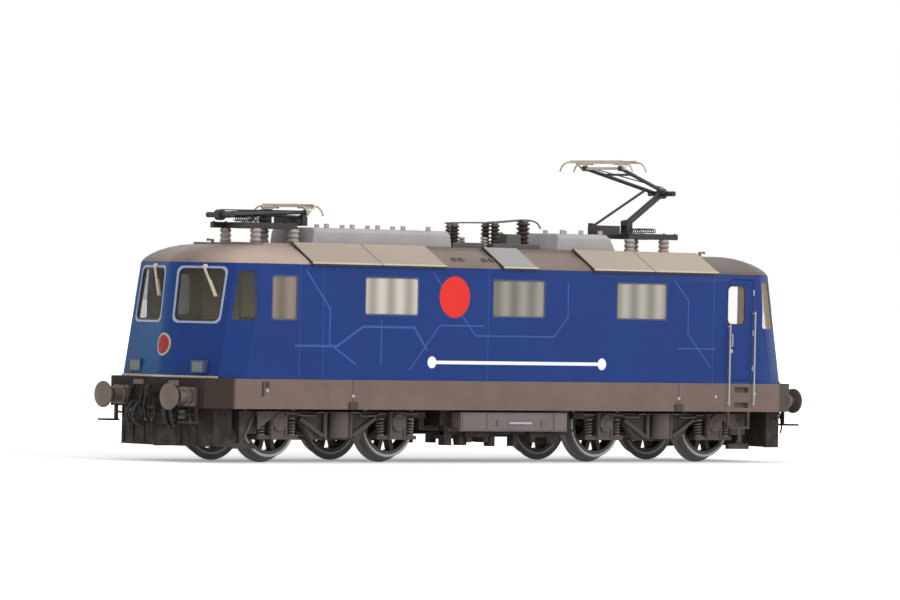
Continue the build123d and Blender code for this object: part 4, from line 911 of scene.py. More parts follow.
def screw_couplings():
    """Draw hook as a flat bar bent over, with two shackles of round wire and a screw between them."""
    grids = []
    for end in ENDS:
        grids.append(end_box(end, COUPLING_PLATE["out"], COUPLING_PLATE["across"], COUPLING_PLATE["z"]))
        face = COUPLING_PLATE["out"][1]
        for y, z in product(COUPLING_PLATE["bolt_ys"], COUPLING_PLATE["bolt_zs"]):
            grids.append(dome(end_point(end, face, y, z), (end, 0, 0), *COUPLING_PLATE["bolt"]))
        grids.append(strip(smooth_path(end_points(end, HOOK_RUN), 22), *HOOK_SECTION))
        out = SHACKLES["out"]
        for loop in SHACKLE_LOOPS:
            width, depth = loop["width"], loop["width"] * SHACKLES["round"]
            run = [(out, width * np.cos(t), loop["bottom"] + depth + depth * np.sin(t))
                   for t in np.linspace(np.pi, 2 * np.pi, 9)]
            run = [(out, -width, loop["top"])] + run + [(out, width, loop["top"])]
            grids.append(tube(end_points(end, run), SHACKLES["wire"], 8))
        screw = [(out, y, COUPLING_SCREW["z"]) for y in around(0, COUPLING_SCREW["half_length"])]
        grids.append(tube(end_points(end, screw), COUPLING_SCREW["radius"], 10))
    made = fitted("screw_couplings", grids, "body", "underframe_dark")
    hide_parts("coupling_hooks")


BUFFER = {"y": 10.06, "z": 13.07, "base": 0.9, "base_half": (2.2, 1.9), "bolt_at": (1.75, 1.45),
          "bolt": (0.28, 0.22, 8), "head": 2.65, "crown": 0.32}
# Outline from the headstock outwards, and the plunger and head back from the buffer's face: distance, radius
BUFFER_SLEEVE = [(0.9, 0), (0.9, 1.75), (1.3, 1.75), (1.45, 1.45), (2.9, 1.45), (3.0, 1.6), (3.7, 1.6),
                 (3.7, 1.0)]
BUFFER_PLUNGER = [(1.0, 1.0), (0.85, 2.2), (0.62, 2.65)]


def turned_buffers():
    """Buffers turned about their axes: ringed sleeve, plunger and domed head, on a base with four bolts."""
    reach = BUFFER_FACE_X - END_X
    rim = np.linspace(0, 1, 7)[::-1]
    domed = np.stack([reach - BUFFER["crown"] * rim ** 2, BUFFER["head"] * rim], -1)
    outline = [*BUFFER_SLEEVE, *((reach - back, radius) for back, radius in BUFFER_PLUNGER), *domed]
    half_width, half_height = BUFFER["base_half"]
    grids = []
    for end, side in product(ENDS, SIDES):
        y = side * BUFFER["y"]
        grids.append(turned(outline, (end * END_X, y, BUFFER["z"]), (end, 0, 0), 36))
        across, up = around(y, half_width), around(BUFFER["z"], half_height)
        grids.append(end_box(end, (0, BUFFER["base"]), across, up))
        for step, rise in product(*(around(0, half) for half in BUFFER["bolt_at"])):
            bolt = end_point(end, BUFFER["base"], y + step, BUFFER["z"] + rise)
            grids.append(dome(bolt, (end, 0, 0), *BUFFER["bolt"]))
    made = fitted("turned_buffers", grids, "body", "buffer_grey")
    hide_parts("buffers")


HEADSTOCK_LIP = {"ys": (-CORNER_Y, -7.0, -0.6, 0.6, 7.0, CORNER_Y), "up": 0.2, "out": 0.22,
                 "section": (0.35, 0.4)}


def headstock_lip():
    """Pale lip along the foot of each cab front: a flat bar along the line of the front, corner to corner."""
    grids = []
    ys, z = np.array(HEADSTOCK_LIP["ys"]), BODY_LOW_Z + HEADSTOCK_LIP["up"]
    for end in ENDS:
        path = np.stack([end * (front_x(ys, z) + HEADSTOCK_LIP["out"]), ys, np.full_like(ys, z)], -1)
        grids.append(strip(path, *HEADSTOCK_LIP["section"]))
    fitted("headstock_lips", grids, "body", "light_grey")


# Roof

# Hatches: spans along, ends that get a painted shadow strip up the slope, and points of the slope: out from
# the middle, height
HATCH_SPANS = [(-57.4, -38.5), (-38.5, -20.8), (20.8, 38.5), (38.5, 57.4), (-5.0, 5.0)]
HATCH_ENDS = (-57.4, 20.8, -5.0)
HATCH_LOW, HATCH_HIGH = (17.28, 39.98), (10.9, 44.2)
# Lower lip of each hatch, pale as a painted highlight: place, shortening at the ends, section
HATCH_LIP_HIGHLIGHT = {"at": (17.52, 40.10), "short": 0.15, "section": (0.32, 0.26)}
# Dark strips as painted shadow under the hatches and up one sloped end: drop, shortening, section, start up
# the slope and section there
HATCH_SHADOW_STRIP = {"drop": 0.28, "short": 0.1, "section": (0.36, 0.42), "slope_start": 0.1,
              "slope_section": (0.34, 0.34)}


def hatch_lips_painted_light():
    """Folded lower lip of each roof hatch, a flat bar along its lower edge, in pale grey as a painted
    highlight; a dark strip below it and up the slope at one end of each run of hatches, as painted shadow."""
    highlight_lips, shadow_strips = [], []
    for side in SIDES:
        y, z = side * HATCH_LOW[0], HATCH_LOW[1]
        for low_x, high_x in HATCH_SPANS:
            lip_y, lip_z = side * HATCH_LIP_HIGHLIGHT["at"][0], HATCH_LIP_HIGHLIGHT["at"][1]
            ends = (low_x + HATCH_LIP_HIGHLIGHT["short"], high_x - HATCH_LIP_HIGHLIGHT["short"])
            highlight_lips.append(strip([(x, lip_y, lip_z) for x in ends], *HATCH_LIP_HIGHLIGHT["section"]))
            ends = (low_x + HATCH_SHADOW_STRIP["short"], high_x - HATCH_SHADOW_STRIP["short"])
            shadow_strips.append(strip([(x, y, z - HATCH_SHADOW_STRIP["drop"]) for x in ends], *HATCH_SHADOW_STRIP["section"]))
        start = HATCH_SHADOW_STRIP["slope_start"]
        for x in (-side * x for x in HATCH_ENDS):
            slope = [(x, y + side * start, z + start), (x, side * HATCH_HIGH[0], HATCH_HIGH[1])]
            shadow_strips.append(strip(slope, *HATCH_SHADOW_STRIP["slope_section"]))
    # Pale lips as painted highlight, dark strips as painted shadow
    fitted("hatch_lips_painted_light", highlight_lips, "body", "light_grey")
    fitted("hatch_painted_shadows", shadow_strips, "body", "hose_black")


ROOF_VENTS = {"xs": (-16.6, -14.6, -8.2, -6.2), "y": 15.1, "z": 41.55, "half_length": 0.6, "radius": 0.20,
              "steps": (-0.28, 0.28), "slope": (0.8, 0.55)}


def roof_vents():
    """Small louvres on the roof slopes, two pairs each side: short round bars lying on the slope."""
    grids = []
    for turn, x, step in product(TURNS, ROOF_VENTS["xs"], ROOF_VENTS["steps"]):
        inward, rise = ROOF_VENTS["slope"]
        y, z = -turn * (ROOF_VENTS["y"] - step * inward), ROOF_VENTS["z"] + step * rise
        bar = [(end_x, y, z) for end_x in around(turn * x, ROOF_VENTS["half_length"])]
        grids.append(tube(bar, ROOF_VENTS["radius"], 6))
    fitted("roof_vents", grids, "body", "equipment_grey")


SWITCH_POSTS = [
    {"x": -6.0, "y": -3.5, "radius": 1.2, "height": 3.6},
    {"x": -1.0, "y": 3.0, "radius": 1.2, "height": 3.6},
    {"x": 5.5, "y": -3.5, "radius": 1.1, "height": 4.0},
    {"x": 9.0, "y": 3.0, "radius": 1.1, "height": 4.0},
    {"x": 14.0, "y": -3.0, "radius": 1.5, "height": 4.6},
]
POST = {"base": 1.2, "neck": 0.62, "sheds": 5, "clamp": 0.7, "clamp_height": 0.35, "clamp_sink": 0.05}
# Runs of points with the height above the posts' feet
CONDUCTOR_RUNS = [
    [(-8.6, -3.5, 3.9), (-3.0, -3.5, 4.1), (5.5, -3.5, 4.3), (13.0, -3.0, 4.9)],
    [(-6.0, -3.5, 3.7), (-2.6, 0.0, 3.6), (-1.0, 3.0, 3.9)],
    [(9.0, 3.0, 4.3), (14.0, -3.0, 5.0), (17.6, -3.0, 4.6), (20.0, -2.0, 3.4)],
    [(5.5, -3.5, 2.0), (7.0, -3.9, 2.2), (8.3, -3.0, 1.9)],
]
CONDUCTOR_RADIUS = 0.17
SMALL_POSTS = {"places": ((2.4, -3.6), (11.6, -3.7), (1.9, 2.6)), "neck": 0.45, "rim": 0.8, "height": 2.4,
               "sheds": 4}


def switchgear():
    """Round-shed insulators in place of ribbed posts, with conductors and clamps from top to top."""
    posts, light = [], []
    foot = DECK_Z + POST["base"]
    bars = [tube(smooth_path([(x, y, foot + up) for x, y, up in run], 24), CONDUCTOR_RADIUS, 7)
            for run in CONDUCTOR_RUNS]
    for post in SWITCH_POSTS:
        x, y, radius, height = (post[key] for key in ("x", "y", "radius", "height"))
        outline = shed_outline(radius * POST["neck"], radius, height, POST["sheds"])
        posts.append(turned(outline, (x, y, foot), UP, 24))
        top = (x, y, foot + height - POST["clamp_sink"])
        bars.append(disc(top, UP, radius * POST["clamp"], POST["clamp_height"], 14))
    made = fitted("switch_posts", posts, "body", "insulator_brown")
    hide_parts("switch_insulators")
    fitted("conductors", bars, "body", "spring_grey")
    outline = shed_outline(*(SMALL_POSTS[key] for key in ("neck", "rim", "height", "sheds")))
    for x, y in SMALL_POSTS["places"]:
        light.append(turned(outline, (x, y, DECK_Z), UP, 18))
    fitted("small_posts", light, "body", "insulator_grey")


FOOT = {"offsets": (-3.5, 6.6), "y": 4.6, "neck": 0.95, "rim": 1.2, "sheds": 3}


def pantograph_feet():
    """Round-shed insulators under the pantographs, in place of the plain ribbed posts."""
    low_z, high_z = (corner[2] for corner in span_mm("pantograph_insulators"))
    outline = shed_outline(FOOT["neck"], FOOT["rim"], high_z - low_z, FOOT["sheds"])
    grids = []
    for name, end in PANTOGRAPHS.items():
        pivot = JOINT_AT[f"{name}_lower_arm_raise"]
        for x, side in product(FOOT["offsets"], SIDES):
            grids.append(turned(outline, (pivot[0] + end * x, side * FOOT["y"], low_z), UP, 22))
    made = fitted("pantograph_feet", grids, "body", "insulator_grey")
    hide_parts("pantograph_insulators")


HEAD = {"gap": 4.0, "lift": 1.22, "horn": 3.0, "horn_bend": ((1.2, 0.12), (0.7, 0.75)), "drop": 1.9,
        "tube": 0.18, "shaft": 6.6, "shaft_radius": 0.30, "inside": 0.25, "crown": 0.06, "link_y": 6.3,
        "tie_y": 5.166, "tie_drop": 0.3, "tie_radius": 0.2}
CONTACT_STRIP = {"rise": 0.12, "section": (0.62, 0.32)}


def collector_heads():
    """Collector heads: two contact strips with horns that curve down, on a cross shaft with links."""
    for name in PANTOGRAPHS:
        node = f"{name}_collector"
        head = JOINT_AT[f"{node}_follow"]
        reach = span_mm(node)[1][1] - HEAD["inside"]
        flat = reach - HEAD["horn"]
        (past, dip), (short, fall) = HEAD["horn_bend"]
        half = [(flat, 0.0), (flat + past, -dip), (reach - short, -fall), (reach, -HEAD["drop"])]
        bow = [(-y, z) for y, z in reversed(half)] + [(0.0, HEAD["crown"])] + half
        shaft = [head + (0, y, 0) for y in around(0, HEAD["shaft"])]
        grids, strips = [tube(shaft, HEAD["shaft_radius"], 10)], []
        bow_xs = around(0, HEAD["gap"] / 2)
        for x in bow_xs:
            path = smooth_path([head + (x, y, HEAD["lift"] + z) for y, z in bow], 44)
            grids.append(tube(path, HEAD["tube"], 8))
            path = [head + (x, y, HEAD["lift"] + CONTACT_STRIP["rise"]) for y in np.linspace(-flat, flat, 5)]
            strips.append(strip(path, *CONTACT_STRIP["section"]))
            for y in around(0, HEAD["link_y"]):
                grids.append(tube([head + (0, y, 0), head + (x, y, HEAD["lift"])], HEAD["tube"], 8))
        for y in around(0, HEAD["tie_y"]):
            tie = [head + (x, y, HEAD["lift"] - HEAD["tie_drop"]) for x in bow_xs]
            grids.append(tube(tie, HEAD["tie_radius"], 8))
        made = fitted(f"{node}_frame", grids, node, "collector_bronze")
        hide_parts(node)
        fitted(f"{node}_strips", strips, node, "collector_bronze")


# Stays, at the knee and at the head: share of the upper arm, lift above it, distance from the middle
STAY = {"rows": ((0.05, 1.0, -1.1), (0.93, 0.3, 4.0)), "radius": 0.13}
RAISING_SPRING = {"y": 2.3, "turns": 9, "points": 110, "span": (1.2, 6.2), "drop": 1.35, "coil": 0.42,
                  "wire": 0.11}
BASE_BOLTS = {"xs": (-3.5, 0.0, 6.6, 9.8), "drop": 2.0, "size": (0.26, 0.22, 8)}


def pantograph_fittings():
    """Stays between the upper arm's tubes, coil springs beside the base pivot and bolts on the base rails."""
    for name, end in PANTOGRAPHS.items():
        pivot, knee, head = (JOINT_AT[f"{name}_{joint}"] for joint in
                             ("lower_arm_raise", "upper_arm_follow", "collector_follow"))
        arm = head - knee
        over = np.array([-arm[2], 0, arm[0]]) * np.sign(arm[0]) / np.linalg.norm(arm)
        stay = [tube([knee + arm * share + over * lift + (0, side * y, 0) for share, lift, y in STAY["rows"]],
                     STAY["radius"], 6) for side in SIDES]
        fitted(f"{name}_stays", stay, f"{name}_upper_arm", "pantograph_dark")
        base = []
        turn = np.linspace(0, 2 * np.pi * RAISING_SPRING["turns"], RAISING_SPRING["points"])
        along = pivot[0] + end * np.linspace(*RAISING_SPRING["span"], RAISING_SPRING["points"])
        for y in around(0, RAISING_SPRING["y"]):
            coil = np.stack([along, y + RAISING_SPRING["coil"] * np.cos(turn),
                             pivot[2] - RAISING_SPRING["drop"] + RAISING_SPRING["coil"] * np.sin(turn)], -1)
            base.append(tube(coil, RAISING_SPRING["wire"], 5))
        for x, side in product(BASE_BOLTS["xs"], SIDES):
            bolt = (pivot[0] + end * x, side * FOOT["y"], pivot[2] - BASE_BOLTS["drop"])
            base.append(dome(bolt, UP, *BASE_BOLTS["size"]))
        fitted(f"{name}_base_fittings", base, "body", "pantograph_dark")


# Cab fronts and sides

GASKET = {"margin": 0.17, "radius": 0.9, "sink": 0.25, "section": (0.36, 0.32)}


def windscreen_gaskets():
    """Dark gaskets inside the windscreen frames: a flat bar round each opening of the leaning front."""
    margin = WINDSCREEN["frame"] + GASKET["margin"]
    outline = rounded_rectangle((WINDSCREEN["inner"] + margin, WINDSCREEN["sill"] + margin),
                                (WINDSCREEN["outer"] - margin, WINDSCREEN["head"] - margin), GASKET["radius"])
    grids = []
    for end, side in product(ENDS, SIDES):
        y, z = side * outline[:, 0], outline[:, 1]
        path = np.stack([end * (front_x(y, z) - GASKET["sink"]), y, z], -1)
        grids.append(loop_bar(path, (end, 0, 0), *GASKET["section"]))
    fitted("windscreen_gaskets", grids, "body", "hose_black")


WIPER = {"ys": (-6.5, 8.0), "top": 38.7, "tip": 33.0, "reach": 3.4, "stand_off": 0.5, "arm": (0.42, 0.30),
         "blade": (0.24, 0.5), "blade_back": 0.26, "boss_back": 0.5, "boss_up": 0.15,
         "boss": [(0, 0), (0, 0.55), (0.5, 0.5), (0.75, 0.3), (0.75, 0)]}


def wiper_arms():
    """Wipers: a boss at the top, a flat arm and a blade along its lower half, following the leaning front."""
    grids = []
    share = np.linspace(0, 1, 8)
    for end, y in product(ENDS, WIPER["ys"]):
        run_y = y + WIPER["reach"] * share
        run_z = WIPER["top"] + (WIPER["tip"] - WIPER["top"]) * share
        path = np.stack([end * (front_x(run_y, run_z) + WIPER["stand_off"]), end * run_y, run_z], -1)
        grids.append(strip(path, *WIPER["arm"]))
        grids.append(strip(path[3:] - (end * WIPER["blade_back"], 0, 0), *WIPER["blade"]))
        boss = path[0] - (end * WIPER["boss_back"], 0, -WIPER["boss_up"])
        grids.append(turned(WIPER["boss"], boss, (end, 0, 0), 14))
    made = fitted("wiper_arms", grids, "body", "light_grey")
    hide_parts("wipers")


DOOR = {"x": END_X - 17.9, "half_width": 3.7, "proud": 0.02}
DOOR_HANDLE = {"in": 1.0, "out": 0.35, "z": (24.6, 27.2), "radius": 0.16, "peg_zs": (24.7, 27.1),
               "peg_radius": 0.14, "peg_sink": 0.05, "lock_z": 23.6, "lock": (0.42, 0.12, 14)}
DOOR_HINGE = {"zs": (20.0, 27.5, 36.0), "half_length": 0.6, "out": 0.08, "radius": 0.16}
DOOR_RUBBER = {"sink": 0.1, "section": (0.26, 0.14)}


def door_fittings():
    """Door furniture on both sides: handle, lock plate, hinges and a rubber strip round the window."""
    metal, rubber = [], []
    half = DOOR_WINDOW["width"] / 2
    outline = rounded_rectangle((DOOR_WINDOW["x"] - half, DOOR_WINDOW["sill"]),
                                (DOOR_WINDOW["x"] + half, DOOR_WINDOW["head"]), DOOR_WINDOW["radius"])
    for turn in TURNS:
        y, out = -turn * (SIDE_Y + DOOR["proud"]), -turn
        x, bar_y = turn * (DOOR["x"] - DOOR["half_width"] + DOOR_HANDLE["in"]), y + out * DOOR_HANDLE["out"]
        metal.append(tube([(x, bar_y, z) for z in DOOR_HANDLE["z"]], DOOR_HANDLE["radius"], 8))
        for z in DOOR_HANDLE["peg_zs"]:
            peg = [(x, y - out * DOOR_HANDLE["peg_sink"], z), (x, bar_y, z)]
            metal.append(tube(peg, DOOR_HANDLE["peg_radius"], 8))
        metal.append(disc((x, y, DOOR_HANDLE["lock_z"]), (0, out, 0), *DOOR_HANDLE["lock"]))
        x = turn * (DOOR["x"] + DOOR["half_width"])
        for z in DOOR_HINGE["zs"]:
            ends = around(z, DOOR_HINGE["half_length"])
            hinge = [(x, y + out * DOOR_HINGE["out"], end_z) for end_z in ends]
            metal.append(tube(hinge, DOOR_HINGE["radius"], 8))
        wall = np.full(len(outline), y - out * DOOR_RUBBER["sink"])
        path = np.stack([turn * outline[:, 0], wall, outline[:, 1]], -1)
        rubber.append(loop_bar(path, (0, out, 0), *DOOR_RUBBER["section"]))
    fitted("door_furniture", metal, "body", "rail_white")
    fitted("door_window_rubber", rubber, "body", "hose_black")


HANDRAIL = {"xs": (END_X - 21.6, END_X - 14.2), "tops": (29.2, 32.0), "foot": 12.2, "stand_off": 0.70,
            "radius": 0.16, "peg_in": 0.4, "peg_sink": 0.1}


def slim_handrails():
    """Door handrails: thin round bars on short pegs beside each door, the inner one lower."""
    grids = []
    for turn in TURNS:
        y, wall_y = -turn * (SIDE_Y + HANDRAIL["stand_off"]), -turn * (SIDE_Y - HANDRAIL["peg_sink"])
        for x, top in zip(HANDRAIL["xs"], HANDRAIL["tops"]):
            grids.append(tube([(turn * x, y, z) for z in (HANDRAIL["foot"], top)], HANDRAIL["radius"], 8))
            for z in (HANDRAIL["foot"] + HANDRAIL["peg_in"], top - HANDRAIL["peg_in"]):
                grids.append(tube([(turn * x, wall_y, z), (turn * x, y, z)], HANDRAIL["radius"], 8))
    made = fitted("slim_handrails", grids, "body", "rail_white")
    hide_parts("handrails")


# Skirt: brackets at the skirt's lower edge, with a seam and a pin above each; a socket of two bars and a pin
BRACKET = {"xs": (-45.4, 46.6), "half_width": 1.1, "proud": (-0.1, 0.4), "up": (0.05, 1.5), "seam": 0.07,
           "seam_proud": (-0.1, 0.04), "seam_gap": 0.1, "pin_step": 0.1, "pin_up": 2.7}
SKIRT_PIN = (0.38, 0.22, 12)
SOCKET = {"x": -68.8, "proud": (-0.1, 0.25), "pin_step": 0.5, "pin_z": 14.5,
          "bars": [((-0.9, -0.5), (13.4, 16.2)), ((0.1, 0.9), (15.2, 16.2))]}
STEP_PINS = {"places": ((57.6, 13.9), (69.2, 14.6)), "size": (0.34, 0.2, 12)}


def skirt_fittings():
    """Jacking brackets along the skirt, seams above them, small pins and a socket near the front cab."""
    dark, pale = [], []
    for turn in TURNS:
        y, out = -turn * SIDE_Y, -turn
        facing = (0, out, 0)
        for x in (turn * x for x in BRACKET["xs"]):
            low, high = (SKIRT_LOW_Z + up for up in BRACKET["up"])
            dark.append(side_box(y, out, around(x, BRACKET["half_width"]), BRACKET["proud"], (low, high)))
            seam_z = (high, BODY_LOW_Z - BRACKET["seam_gap"])
            dark.append(side_box(y, out, around(x, BRACKET["seam"]), BRACKET["seam_proud"], seam_z))
            pin = (x + BRACKET["pin_step"] * turn, y, SKIRT_LOW_Z + BRACKET["pin_up"])
            pale.append(dome(pin, facing, *SKIRT_PIN))
        x = turn * SOCKET["x"]
        for along, up in SOCKET["bars"]:
            dark.append(side_box(y, out, [x + step for step in along], SOCKET["proud"], up))
        pale.append(dome((x + SOCKET["pin_step"], y, SOCKET["pin_z"]), facing, *SKIRT_PIN))
        for at, z in STEP_PINS["places"]:
            pale.append(dome((turn * at, y, z), facing, *STEP_PINS["size"]))
    fitted("jacking_brackets", dark, "body", "underframe_dark")
    fitted("skirt_pins", pale, "body", "rail_white")


BATTERY_PANEL = {"spans": ((-14.6, -8.2), (-7.8, 10.8), (11.2, 14.6)), "proud": (-0.1, 0.14), "margin": 0.35}
BATTERY_LID = {"z": 8.2, "hinges": (-4.9, 7.8), "hinge_half": (0.25, 0.7), "hinge_proud": (0.0, 0.4),
               "handle": (-1.8, 4.4), "handle_out": 0.32, "handle_radius": 0.24}


def battery_fittings():
    """Battery box lids: raised panels on each side, two hinges and a pale handle bar."""
    panels, bars = [], []
    low, high = span_mm("battery_box")
    panel_z = (low[2] + BATTERY_PANEL["margin"], high[2] - BATTERY_PANEL["margin"])
    half_width, half_height = BATTERY_LID["hinge_half"]
    hinge_z = around(BATTERY_LID["z"], half_height)
    for turn in TURNS:
        y, out = -turn * high[1], -turn
        for span in BATTERY_PANEL["spans"]:
            panels.append(side_box(y, out, [turn * x for x in span], BATTERY_PANEL["proud"], panel_z))
        for x in BATTERY_LID["hinges"]:
            panels.append(side_box(y, out, around(turn * x, half_width), BATTERY_LID["hinge_proud"], hinge_z))
        handle_y = y + out * BATTERY_LID["handle_out"]
        path = [(turn * x, handle_y, BATTERY_LID["z"]) for x in BATTERY_LID["handle"]]
        bars.append(tube(path, BATTERY_LID["handle_radius"], 8))
    fitted("battery_lids", panels, "body", "box_grey")
    fitted("battery_handles", bars, "body", "rail_white")


UNDERSIDE_HANGERS = [
    {"x": -16.6, "length": 2.0, "bottom": 3.6}, {"x": -12.4, "length": 2.0, "bottom": 3.6},
    {"x": -4.2, "length": 1.4, "bottom": 3.4}, {"x": 2.2, "length": 1.2, "bottom": 3.4},
    {"x": 13.6, "length": 2.4, "bottom": 3.8},
]
HANGER = {"y": 13.4, "half_width": 0.9, "into_box": 0.9}
UNDERSIDE_RAIL = {"half_length": 17.6, "half_width": 0.6, "below": (-0.75, -0.05)}
UNDERSIDE_PIPES = [{"y": 15.2, "up": 0.2, "radius": 0.28}, {"y": 11.0, "up": -0.9, "radius": 0.35}]
UNDERSIDE_PIPE_HALF = 17.8


def underside_fittings():
    """What hangs below the boxes: small blocks on a rail along each side, and pipes along the underside."""
    blocks, pipes = [], []
    low_z = span_mm("battery_box")[0][2]
    for turn in TURNS:
        y = -turn * HANGER["y"]
        for row in UNDERSIDE_HANGERS:
            along, across = around(turn * row["x"], row["length"] / 2), around(y, HANGER["half_width"])
            blocks.append(box_grid(*zip(along, across, (row["bottom"], low_z + HANGER["into_box"]))))
        along, across = around(0, UNDERSIDE_RAIL["half_length"]), around(y, UNDERSIDE_RAIL["half_width"])
        blocks.append(box_grid(*zip(along, across, (low_z + up for up in UNDERSIDE_RAIL["below"]))))
        for pipe in UNDERSIDE_PIPES:
            path = [(x, -turn * pipe["y"], low_z + pipe["up"]) for x in around(0, UNDERSIDE_PIPE_HALF)]
            pipes.append(tube(path, pipe["radius"], 8))
    fitted("underside_blocks", blocks, "body", "underframe_dark")
    fitted("underside_pipes", pipes, "body", "underframe_dark")


# Rings of the nose plate: share of its half width and height, and share of how far it stands proud
PLATE_RINGS = ((0.0, 1.0), (0.5, 1.0), (0.8, 1.0), (1.0, 0.75), (1.0, -0.6))
PLATE_FLAT_Y, PLATE_BACK = 0.5, 0.3


def nose_plates():
    """Blank oval plate on each nose: a polar grid laid on the front, with a short edge back to the wall."""
    grids = []
    turn = np.linspace(0, 2 * np.pi, 40, endpoint=False)
    for end in ENDS:
        rows = []
        for share, lift in PLATE_RINGS:
            y = NOSE_PLATE["half_width"] * share * np.cos(turn)
            z = NOSE_PLATE["z"] + NOSE_PLATE["half_height"] * share * np.sin(turn)
            x = front_x(np.sqrt(y ** 2 + PLATE_FLAT_Y ** 2), z) + NOSE_PLATE["proud"] * lift
            rows.append(np.stack([end * x, y, z], -1))
        back = np.array([[end * (front_x(0.0, NOSE_PLATE["z"]) - PLATE_BACK), 0, NOSE_PLATE["z"]]])
        rows.append(np.repeat(back, len(turn), 0))
        grids.append((np.stack(rows), False))
    fitted("nose_plates", grids, "body", "body_blue")


# Cab furniture: distances out from the headstock's face and from the bulkhead, in mm
CONTROL_WHEEL = {"out": -12.6, "y": 5.5, "z": 27.2, "radius": 1.5, "points": 32, "section": (0.3, 0.3),
                 "foot": (-10.8, 26.2), "column": 0.25}
INSTRUMENTS = {"ys": (-8.5, -5.0, -1.5, 2.0, 8.6), "half_width": 1.2, "out": (-9.4, -8.2), "up": (-0.3, 0.9)}
CABINETS = {"tops": ((-10.0, 33.0), (9.5, 31.5)), "half_width": 3.0, "foot": 19.0, "depth": 1.3}
DOOR_POSTS = {"ys": (-3.4, 3.4), "half_width": 0.25, "z": (18.2, 37.0), "depth": 0.4}


def cab_fittings():
    """Cab furniture that shows through the glass: a control wheel and a row of instruments on each desk,
    two door posts and two cabinets on each bulkhead."""
    dark, pale = [], []
    bulkhead = span_mm("cab_bulkheads")[1][0]
    desk_z = [span_mm("driver_desks")[1][2] + up for up in INSTRUMENTS["up"]]
    wheel = np.linspace(0, 2 * np.pi, CONTROL_WHEEL["points"], endpoint=False)
    for end in ENDS:
        x, y, z = end_point(end, CONTROL_WHEEL["out"], end * CONTROL_WHEEL["y"], CONTROL_WHEEL["z"])
        ring = np.stack([np.full(len(wheel), x), y + CONTROL_WHEEL["radius"] * np.cos(wheel),
                         z + CONTROL_WHEEL["radius"] * np.sin(wheel)], -1)
        dark.append(loop_bar(ring, (end, 0, 0), *CONTROL_WHEEL["section"]))
        foot_out, foot_z = CONTROL_WHEEL["foot"]
        dark.append(tube([(x, y, z), (end * (END_X + foot_out), y, foot_z)], CONTROL_WHEEL["column"], 8))
        for y in INSTRUMENTS["ys"]:
            dark.append(end_box(end, INSTRUMENTS["out"], around(y, INSTRUMENTS["half_width"]), desk_z))
        for y, top in CABINETS["tops"]:
            along = (end * bulkhead, end * (bulkhead + CABINETS["depth"]))
            pale.append(box_grid(*zip(along, around(y, CABINETS["half_width"]), (CABINETS["foot"], top))))
        for y in DOOR_POSTS["ys"]:
            along = (end * bulkhead, end * (bulkhead + DOOR_POSTS["depth"]))
            dark.append(box_grid(*zip(along, around(y, DOOR_POSTS["half_width"]), DOOR_POSTS["z"])))
    fitted("cab_controls", dark, "body", "cab_grey")
    fitted("cab_cabinets", pale, "body", "cab_olive")


PLOUGH_RIB = {"ys": (5.6, 9.6, 13.2), "wing_y": 14.2, "wing_back": 2.9, "along": (-0.3, 0.25),
              "half_width": 0.2, "foot": 0.2, "top": 9.8}
PLOUGH_BOLT = {"backs": (3.9, 5.6), "y": 14.5, "z": 9.4, "size": (0.3, 0.2, 8)}


def plough_ribs():
    """Ribs on the front of the ploughs, which follow its slope back to the wings, and bolts on the wings."""
    grids = []
    low, high = span_mm("ploughs")
    rib_z = (low[2] + PLOUGH_RIB["foot"], PLOUGH_RIB["top"])
    slope = (high[0] - (END_X - PLOUGH_RIB["wing_back"])) / PLOUGH_RIB["wing_y"]
    for end, side in product(ENDS, SIDES):
        for y in PLOUGH_RIB["ys"]:
            along = [end * (high[0] - slope * y + step) for step in PLOUGH_RIB["along"]]
            grids.append(box_grid(*zip(along, around(side * y, PLOUGH_RIB["half_width"]), rib_z)))
        for back in PLOUGH_BOLT["backs"]:
            bolt = (end * (END_X - back), side * PLOUGH_BOLT["y"], PLOUGH_BOLT["z"])
            grids.append(dome(bolt, (0, side, 0), *PLOUGH_BOLT["size"]))
    fitted("plough_ribs", grids, "body", "underframe_dark")


HORN = {"back": 15.5, "y": 2.0, "drop": 0.31, "start": -0.35, "length": 1.7, "throat": 0.16, "flare": 0.14,
        "foot": 0.35}


def roof_horn_bells():
    """Horns turned about their axes: a thin pipe that flares to a bell with the cube of its length."""
    low, high = span_mm("roof_horns")
    share = np.linspace(0, 1, 8)
    bell = np.stack([HORN["length"] * share + HORN["start"], HORN["throat"] + HORN["flare"] * share ** 3], -1)
    outline = [(HORN["start"], 0), *bell, (HORN["length"] + HORN["start"], 0)]
    grids = []
    for end in ENDS:
        x, y, z = end * (END_X - HORN["back"]), -end * HORN["y"], high[2] - HORN["drop"]
        grids.append(turned(outline, (x, y, z), (end, 0, 0), 16))
        grids.append(disc((x, y, low[2]), UP, HORN["foot"], z - low[2], 12))
    made = fitted("roof_horn_bells", grids, "body", "roof_brown")
    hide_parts("roof_horns")


DETAILS = (
    coil_springs, bogie_fittings, end_hoses, end_pipework, screw_couplings, turned_buffers, headstock_lip,
    hatch_lips_painted_light, roof_vents, switchgear, pantograph_feet, collector_heads, pantograph_fittings,
    windscreen_gaskets, wiper_arms, door_fittings, slim_handrails, skirt_fittings, battery_fittings,
    underside_fittings, nose_plates, cab_fittings, plough_ribs, roof_horn_bells,
)
for detail in DETAILS:
    detail()

